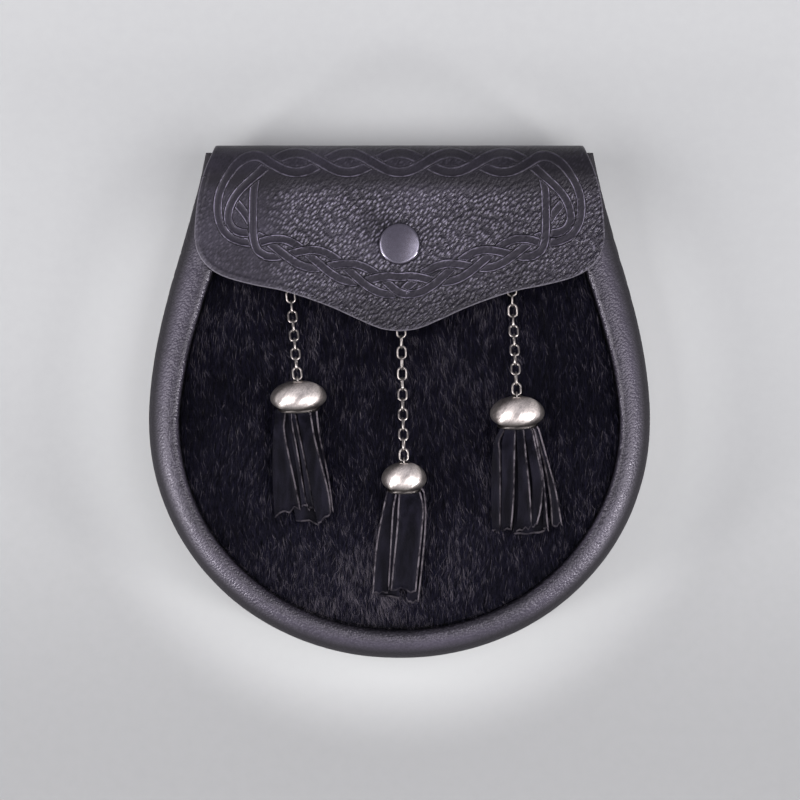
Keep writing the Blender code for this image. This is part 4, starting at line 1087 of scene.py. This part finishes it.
def strip_edges(tassel, left, right):
    """Left and right edges of a strip in metres, from its root inside the cap to its free end."""
    share = np.linspace(0, 1, 40)
    edges = []
    for edge in (left, right):
        edge = np.column_stack(px(*smooth_line(np.reshape(edge, (-1, 2)), 1.2).T))
        edges.append(np.column_stack([np.interp(share, np.linspace(0, 1, len(edge)), part) for part in edge.T]))
    centre_x = float(tassel["top"].x + tassel["down"].x * 0.005)
    start = (edges[0][0] + edges[1][0]) / 2
    roots = ([], [])
    for step in (3, 2, 1):
        pinch = 1 - ROOT_PINCH * step
        squeeze = (np.array([centre_x + (start[0] - centre_x) * pinch, start[1]])
                   - np.array(tassel["level"])[:2] * ROOT_STEP * step)
        for root, edge in zip(roots, edges):
            root.append(squeeze + (edge[0] - start) * pinch)
    return (np.vstack([root, edge]) for root, edge in zip(roots, edges))


def build_strips(tassel, material):
    """Leather strips gathered in the cap and laid on the hair, some with a cut edge curled up."""
    shell = Shell()
    mouth = tassel["top"] + tassel["down"] * tassel["cap_length"]
    up = np.array([0, 0, 1.0])
    knot = np.linspace(-1, 1, STRIP_KNOTS)
    for number, (layer, curl_left, curl_right, left, right) in enumerate(TASSEL_STRIPS[tassel["side"]]):
        left, right = strip_edges(tassel, left, right)
        middle = (left + right) / 2
        run = run_along(middle)
        out = np.clip((run - FALL_START) / tassel["strip_length"], 0, 1)
        ground = hair_height(middle[:, 0], middle[:, 1]) + CLEARANCE + STRIP_THICK / 2
        lie = ground + layer * LAYER_RISE + LIE_GAP
        fall = 1 - (1 - np.minimum(out / 0.5, 1)) ** 2
        hang = mouth.z - HANG_BELOW_MIDDLE + layer * LAYER_HANG
        wave = lattice_noise(np.column_stack([run + number * 0.05, np.zeros(len(run))]), 0.010, 40 + number)
        height = np.maximum(hang + (lie - hang) * fall + wave * STRIP_WAVE * np.clip(out * 4, 0, 1), ground)
        width = np.linalg.norm(right - left, axis=1)[:, None]
        side = np.column_stack([(right - left) / width, np.zeros(len(width))])[:, None]
        across = width / 2 * knot
        rise = np.broadcast_to(STRIP_CAMBER * np.cos(knot * 2.2), across.shape).copy()
        tilt = np.zeros_like(across)
        for curl, sign in ((curl_left, -1), (curl_right, 1)):
            bend = curl * np.clip(1 - (width / 2 - sign * across) / CURL_RUN, 0, 1)
            rise += CURL_RISE * bend ** 1.6
            tilt = np.where(bend > 0, -sign * CURL_TILT * bend, tilt)
        spine = np.column_stack([middle, height])
        forward = unit(np.gradient(spine, axis=0))[:, None]
        bend = ramp(END_CURL_RUN - run[-1] + run, END_CURL_RUN)[:, None, None]
        ragged = np.interp(np.linspace(0, 1, STRIP_KNOTS), np.linspace(0, 1, 6), RNG.uniform(-1, 1, 6)) * END_RAGGED
        base = (spine[:, None] + side * across[..., None] + up * (rise[..., None] + END_CURL_RISE * bend ** 2)
                + forward * ragged[None, :, None] * bend ** 1.5)
        normal = up * np.cos(tilt)[..., None] + side * np.sin(tilt)[..., None]
        normal = normal * np.cos(END_LEAN * bend) - forward * np.sin(END_LEAN * bend)
        top, bottom = base + normal * STRIP_THICK / 2, base - normal * STRIP_THICK / 2
        shell.grid(top, cut=0.0)
        shell.grid(bottom, flip=True, cut=CUT_TONES["under"])
        for line, curl in ((0, curl_left), (-1, curl_right)):
            shell.edge_band((top, bottom), 1, line, flip=line == 0, cut=CUT_TONES["curled" if curl else "flat"])
        for line in (0, -1):
            shell.edge_band((top, bottom), 0, line, flip=line != 0, cut=CUT_TONES["end"])
    place = tassel["frame"]
    shell.turned(HEAD, 32, place, cut=0.0)
    item = shell.build("tassel_strips_" + tassel["side"], material)
    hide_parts("tassel_" + tassel["side"])
    metal = Shell()
    plane = place.col[1 if tassel["links"] % 2 == 0 else 0].to_3d()
    ring = (RING_DIAMETER - RING_WIRE) / 2
    metal.tube([tassel["top"] + tassel["down"] * ring * math.cos(a) + plane * ring * math.sin(a)
                for a in np.linspace(0, 2 * math.pi, 28, endpoint=False)], RING_WIRE / 2, 10, closed=True)
    metal.turned([(CENTRE, ring), (RING_STEM, ring), (RING_STEM, 0.0040), (CENTRE, 0.0040)], 12, place)
    metal.build("tassel_ring_" + tassel["side"], CHAIN)


# Hide and hair

HAIR_COUNT = 142000
HAIR_PIECES = 3
HAIR_LENGTH = (2.6 * MM, 5.2 * MM)
HAIR_WIDTH = 0.105 * MM
SKIN_DROP = 1.5 * MM
HAIR_FIELD = ((-0.080, -0.083), (0.080, 0.062))
HAIR_UNDER_FLAP = 0.009
HAIR_FLOWS = ((0.022, 21, 0.26), (0.0050, 22, 0.24))
HAIR_TURNS = {"lock": 0.22, "loose": 0.13, "spin": 1.0}
HAIR_BENDS = {"lock": 0.15, "loose": 0.14}
HAIR_RISES = {"middle": 1.05 * MM, "lock": 0.42 * MM, "patch": 0.20 * MM, "loose": 0.18 * MM,
              "limits": (0.30 * MM, 1.70 * MM)}
HAIR_TONES = {"middle": 0.19, "patch": 0.26, "lock": 0.36, "broad": 0.18, "low": 0.36, "loose": 0.28}
HAIR_LEVELS = ((0.0, 0.0), (0.48, 0.84), (1.0, 0.95))
SHORT_HAIR_FOOT = 0.0818
SHORTEST_HAIR = 2.0 * MM


def panel_edge(sizes, top_y, inset=CLEARANCE):
    """Right half of a panel's edge inside a rim, from its straight top to the bottom."""
    share = np.linspace(0, 1, 160)
    edge, inward = outline_frame(share)
    points = edge + inward * (blend_sizes(share, sizes) + inset)[:, None]
    return points[points[:, 1] < top_y]


def panel_outline(sizes, top_y):
    """Closed edge of a panel inside a rim."""
    edge = panel_edge(sizes, top_y)
    half = np.vstack([[[edge[0, 0], top_y]], edge])
    top = np.column_stack([np.linspace(-half[0, 0], half[0, 0], 60)[:-1], np.full(59, top_y)])
    return np.vstack([half, half[::-1][1:-1] * [-1, 1], top])


def ringed(outline, rings):
    """Copies of an outline, one inside the other, by shares of the way from the middle."""
    centre = np.array([0.0, WIDEST_Y])
    return centre + (outline - centre)[None] * np.reshape(rings, (-1, 1, 1))


def inside_edge(x, y, edge):
    """How far a place is inside a panel's side, in metres (negative outside)."""
    return np.interp(y, edge[::-1, 1], edge[::-1, 0], left=-1.0) - np.abs(x)


def build_hide():
    """Crowned hide panel under the hair, with its rim turned down."""
    flat = ringed(panel_outline(RIM_SIZES, TOP_Y - FRONT_TOP_MARGIN), np.linspace(0.02, 1, 40))
    top, low = (np.dstack([flat, hair_height(flat[..., 0], flat[..., 1]) - drop]) for drop in (SKIN_DROP, FRONT_HIDE))
    shell = Shell()
    shell.grid(top, wrap_columns=True)
    shell.grid(low, wrap_columns=True, flip=True)
    shell.grid(np.stack([top[-1], low[-1]], 0), wrap_columns=True)
    for sheet in (top, low):
        shell.fan(sheet[0])
    item = shell.build("hide_skin", hide_skin())
    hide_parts("front_panel")


def build_hair():
    """Short hair combed down the front, in small locks that part and cross, as flat tapering blades."""
    edge = panel_edge(RIM_SIZES, TOP_Y - FRONT_TOP_MARGIN, 0.0002)
    count = HAIR_COUNT
    points = np.empty((0, 2))
    while len(points) < count:
        tries = RNG.uniform(*HAIR_FIELD, (count, 2))
        under = flap_edge_y(np.clip(np.abs(tries[:, 0]) / (FLAP_WIDTH / 2), 0, 1)) + HAIR_UNDER_FLAP
        keep = (inside_edge(tries[:, 0], tries[:, 1], edge) > 0.0001) & (tries[:, 1] < under)
        points = np.vstack([points, tries[keep]])
    points = points[:count]
    x, y = points.T
    flow = sum(lattice_noise(points, size, seed) * weight for size, seed, weight in HAIR_FLOWS)
    lock = lattice_noise(points * [1.0, 0.42], 0.00095, 23)
    patch = lattice_noise(points * [1.0, 0.60], 0.0065, 24, 3)
    broad = lattice_noise(points, 0.030, 25)
    angle = flow + lock * HAIR_TURNS["lock"] + RNG.normal(0, HAIR_TURNS["loose"], count)
    length = RNG.uniform(*HAIR_LENGTH, count) * (1 + 0.15 * patch)
    # shorter at the bottom, and where a tip would pass the rim
    length = np.minimum(length, np.maximum(np.minimum(y + SHORT_HAIR_FOOT, 0.02) * 0.8 + SHORTEST_HAIR,
                                           SHORTEST_HAIR))
    room = inside_edge(x, y, edge)
    past = -inside_edge(x + np.sin(angle) * length, y - np.cos(angle) * length, edge)
    length = np.where(past > -0.0003, length * np.clip(room / (room + past + 0.0006), 0.25, 1), length)
    bend = RNG.normal(0, HAIR_BENDS["loose"], count) + lock * HAIR_BENDS["lock"]
    rises = HAIR_RISES
    rise = np.clip(rises["middle"] + rises["lock"] * lock + rises["patch"] * patch
                   + RNG.normal(0, rises["loose"], count), *rises["limits"])
    width = HAIR_WIDTH * RNG.uniform(0.75, 1.3, count)
    spin = RNG.uniform(-HAIR_TURNS["spin"], HAIR_TURNS["spin"], count)
    spines, sides = [], []
    for step, lift in HAIR_LEVELS:
        turn = angle + bend * step
        place = points + np.column_stack([np.sin(turn), -np.cos(turn)]) * (length * step)[:, None]
        spines.append(np.column_stack([place, hair_height(*place.T) - SKIN_DROP + rise * lift]))
        sides.append(np.column_stack([np.cos(turn) * np.cos(spin), np.sin(turn) * np.cos(spin), np.sin(spin)]))
    # browner below the middle
    low = ramp(-0.010 - y, 0.06) * np.clip(1 - np.abs(x + 0.008) / 0.055, 0, 1)
    tones = HAIR_TONES
    tone = np.clip(tones["middle"] + tones["patch"] * patch + tones["lock"] * lock + tones["broad"] * broad
                   + tones["low"] * low + RNG.normal(0, tones["loose"], count), 0, 1)
    material, order = hair(), np.argsort(x)
    along = [HAIR_LEVELS[level][0] for level in (0, 0, 1, 1, 2)]
    for piece in range(HAIR_PIECES):
        part = order[piece * count // HAIR_PIECES:(piece + 1) * count // HAIR_PIECES]
        size = len(part)
        verts = [spines[level][part] + sides[level][part] * (sign * 0.5 * share * width[part])[:, None]
                 for level, share in ((0, 1.0), (1, 0.9)) for sign in (-1, 1)]
        quads, tips = (np.column_stack([np.arange(size) + size * a for a in corners])
                       for corners in ((0, 1, 3, 2), (2, 3, 4)))
        mesh_object("hair_%d" % (piece + 1), np.concatenate([*verts, spines[2][part]]), [quads, tips],
                    material,
                    {"tone": np.tile(tone[part], 5), "along": np.repeat(along, size)})


# Back

LOOP_BEND = 0.0016
LOOP_SOFT = 0.0005
STITCH_PITCH = 0.0022
SEAM_PITCH = 0.0032
TACK_HALF = 0.0055
TACK_MARGIN = 0.0012
TAB_SEAM_HALF = 0.0570
TAB_SEAM_ROWS = (0.0030, 0.0060)
SEAM_SHARE = 0.955
SEAM_TOP = 0.039
BACK_SLACK = 0.00018
BACK_EDGE = ((0.992, 0.00005), (0.997, 0.00022), (1.0, 0.0005))
STITCH_ENDS = (0.10, 0.90)
THREAD_RADIUS = 0.00026
THREAD_SWELL = 0.45
STITCH_ARCH = 0.00022
STITCH_SINK = 0.00010


def build_back():
    """Recessed leather back with its edge, slightly slack between its seams."""
    outline = panel_outline(BACK_RIM_SIZES, TOP_Y - FLAP_LEATHER - BACK_FOLD_RADIUS)
    edge_rings, edge_drop = zip(*BACK_EDGE)
    rings = np.concatenate([np.linspace(0.01, 0.985, 70), edge_rings])
    drop = np.concatenate([np.zeros(70), edge_drop])
    flat = ringed(outline, rings)
    slack = lattice_noise(flat.reshape(-1, 2), 0.030, 71).reshape(flat.shape[:2])
    fade = ramp(1 - rings, 0.2)[:, None]
    low = np.dstack([flat, BACK_RECESS + BACK_SLACK * (1 + slack) * fade + drop[:, None]])
    high = np.dstack([flat[::8], np.full(flat[::8].shape[:2], BACK_RECESS + BACK_LEATHER)])
    shell = Shell()
    shell.grid(low, wrap_columns=True, flip=True)
    shell.grid(high, wrap_columns=True)
    shell.grid(np.stack([low[-1], high[-1]], 0), wrap_columns=True, flip=True)
    for sheet in (low, high):
        shell.fan(sheet[0])
    item = shell.build("back_leather", BACK)
    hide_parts("back_panel")
    return outline


def loop_path(centre_y):
    """Middle line of a strap loop in (y, z), from its upper tab round the slot to its lower one."""
    seat, outer = BACK_RECESS - CLEARANCE - LOOP_LEATHER / 2, LOOP_FLOOR_GAP + LOOP_LEATHER / 2
    half, bend = (LOOP_SLOT + LOOP_LEATHER) / 2, (LOOP_BEND, LOOP_BEND)
    points = np.vstack([[(half + LOOP_LEATHER / 2 + LOOP_TAB, seat), (half + 0.0030, seat)],
                        arc((half + LOOP_BEND, seat - LOOP_BEND), bend, 90, 180, 6),
                        arc((half - LOOP_BEND, outer + LOOP_BEND), bend, 0, -90, 6)])
    return np.vstack([points, [(0.0, outer)], points[::-1] * [-1, 1]]) + [centre_y, 0]


def build_loops():
    """Two strap loops of rounded leather, and the ends of the stitches that tack them down."""
    reach = LOOP_SLOT / 2 + LOOP_LEATHER
    centre_y = TAB_LOW - LOOP_BELOW_TAB - LOOP_TAB - reach
    corner = np.array([LOOP_WIDTH, LOOP_LEATHER]) / 2 - LOOP_SOFT
    section = np.vstack([arc(corner * sign, (LOOP_SOFT, LOOP_SOFT), start, start + 90, 4) for sign, start in
                         (((1, 1), 0), ((-1, 1), 90), ((-1, -1), 180), ((1, -1), 270))])
    fine = smooth_line(loop_path(centre_y) * 1000, 0.5) / 1000
    along = unit(np.gradient(fine, axis=0))
    normal = np.column_stack([-along[:, 1], along[:, 0]])
    yz = fine[:, None] + normal[:, None] * section[None, :, 1:2]
    tab_face, stitches = BACK_RECESS - CLEARANCE - LOOP_LEATHER, []
    for side, middle in (("left", -LOOP_SPACING / 2), ("right", LOOP_SPACING / 2)):
        points = np.dstack([np.repeat(section[None, :, 0], len(fine), 0) + middle, yz])
        shell = Shell()
        shell.grid(points, wrap_columns=True, flip=True)
        for line in (0, -1):
            shell.fan(points[line])
        item = shell.build("strap_loop_" + side, BACK)
        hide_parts("belt_loop_" + side)
        for end in (1, -1):
            near, far = (centre_y + end * (reach + past) for past in (TACK_MARGIN, LOOP_TAB - TACK_MARGIN))
            x0, x1 = middle - TACK_HALF, middle + TACK_HALF
            corners = [(x0, near), (x1, near), (x1, far), (x0, far), (x0, near), (x1, far)]
            for ends in zip(corners, corners[1:]):
                stitches += stitch_run([(x, y, tab_face) for x, y in ends], STITCH_PITCH)
    return stitches


def back_seams(outline):
    """Ends of the stitches round the back and along the flap's tab."""
    inset = ringed(outline, SEAM_SHARE)[0]
    seam = inset[inset[:, 1] < TOP_Y - SEAM_TOP]
    seam = seam[np.argsort(np.arctan2(seam[:, 0], WIDEST_Y - seam[:, 1]))]
    stitches = stitch_run(np.column_stack([seam, np.full(len(seam), BACK_RECESS)]), SEAM_PITCH)
    for row in TAB_SEAM_ROWS:
        stitches += stitch_run([(x, TAB_LOW + row, BACK_RECESS - CLEARANCE - FLAP_LEATHER)
                                for x in (-TAB_SEAM_HALF, TAB_SEAM_HALF)], SEAM_PITCH)
    return stitches


def stitch_run(points, pitch):
    """Ends of even stitches along a line of points."""
    points = np.asarray(points, float)
    run = run_along(points)
    count = max(int(round(run[-1] / pitch)), 1)
    places = np.linspace(0, run[-1], count + 1)
    line = np.column_stack([np.interp(places, run, part) for part in points.T])
    return [tuple(a + (b - a) * end for end in STITCH_ENDS) for a, b in zip(line, line[1:])]


def build_stitches(stitches):
    """All stitches on the back, each a short thread that dives at both ends."""
    shell = Shell()
    share = np.linspace(0, 1, 7)
    swell = np.sin(math.pi * share)
    for a, b in stitches:
        path = a + (b - a) * share[:, None]
        path[:, 2] -= STITCH_ARCH * swell - STITCH_SINK
        shell.tube(path, THREAD_RADIUS * (1 - THREAD_SWELL + THREAD_SWELL * swell), 6)
    shell.build("back_stitches", thread())


# Assembly

def repaint(name, material):
    """A frame node that stays, with its own finish."""
    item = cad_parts[name]
    item.data.materials.clear()
    item.data.materials.append(material)
    item.data.shade_smooth()


build_gusset()
build_flap()
build_snap()
build_hide()
build_hair()
back_outline = build_back()
build_stitches(build_loops() + back_seams(back_outline))
PEWTER, STRIP = pewter(), strip_leather()
for row in TASSELS:
    layout = tassel_layout(row)
    build_chain(layout)
    build_cap(layout, PEWTER)
    build_strips(layout, STRIP)
    repaint("staple_" + layout["side"], CHAIN)
repaint("snap_stud", GUNMETAL)


# Floor, light and camera

FLOOR_REACH = 6.0
LIGHT_AIM = (0, 0, 0.02)
SOFTBOX_COLUMNS = ("name", "place", "size", "power")
SOFTBOXES = (
    ("left_softbox", (-1.10, -0.20, 1.14), (1.30, 1.40), 27.0),
    ("right_softbox", (0.87, -0.20, 1.32), (1.30, 1.40), 26.0),
    ("low_softbox", (0.0, -1.10, 1.20), (1.4, 0.6), 3.0),
    ("left_edge_light", (-1.14, -0.58, 0.46), (0.24, 0.28), 12.0),
    ("right_edge_light", (1.14, -0.58, 0.46), (0.24, 0.28), 12.0),
)
WORLD_COLOUR = (0.93, 0.92, 1.0, 1)
WORLD_RAMP = (-0.7, 0.7, 0.56, 0.62)
VIEW_WIDTH = 0.288
VIEW_DISTANCE = 3.0
VIEW_CENTRE = (0.00018, 0.00058)
SUBJECT_HEIGHT = 0.022
SENSOR = 36.0


def build_floor():
    mesh = bpy.data.meshes.new("floor")
    corners = [(x * FLOOR_REACH, y * FLOOR_REACH, 0) for x, y in ((-1, -1), (1, -1), (1, 1), (-1, 1))]
    mesh.from_pydata(corners, [], [(0, 1, 2, 3)])
    mesh.materials.append(floor_finish())
    floor = bpy.data.objects.new("floor", mesh)
    bpy.context.scene.collection.objects.link(floor)


def softbox(name, place, size, power):
    light = bpy.data.lights.new(name, "AREA")
    light.shape = "RECTANGLE"
    light.size, light.size_y = size
    light.energy = power
    item = bpy.data.objects.new(name, light)
    item.location = place
    item.rotation_euler = (Vector(LIGHT_AIM) - Vector(place)).to_track_quat("-Z", "Y").to_euler()
    item.visible_camera = False
    bpy.context.scene.collection.objects.link(item)


def studio_world():
    """Soft grey surroundings, a little brighter beyond the flap's fold."""
    world = bpy.data.worlds.new("studio")
    world.use_nodes = True
    tree = world.node_tree
    back = tree.nodes["Background"]
    way = tree.nodes.new("ShaderNodeSeparateXYZ")
    tree.links.new(tree.nodes.new("ShaderNodeTexCoord").outputs["Generated"], way.inputs[0])
    grade = tree.nodes.new("ShaderNodeMapRange")
    for socket, value in zip(grade.inputs[1:5], WORLD_RAMP):
        socket.default_value = value
    tree.links.new(way.outputs["Y"], grade.inputs[0])
    tree.links.new(grade.outputs[0], back.inputs["Strength"])
    back.inputs["Color"].default_value = WORLD_COLOUR
    bpy.context.scene.world = world


def build_camera():
    data = bpy.data.cameras.new("camera")
    data.sensor_width = SENSOR
    data.lens = SENSOR * VIEW_DISTANCE / VIEW_WIDTH
    data.clip_start, data.clip_end = 0.1, 30.0
    camera = bpy.data.objects.new("camera", data)
    camera.location = (*VIEW_CENTRE, SUBJECT_HEIGHT + VIEW_DISTANCE)
    bpy.context.scene.collection.objects.link(camera)
    bpy.context.scene.camera = camera


build_floor()
for row in SOFTBOXES:
    softbox(**dict(zip(SOFTBOX_COLUMNS, row)))
studio_world()
bpy.context.scene.view_settings.view_transform = "Standard"
build_camera()
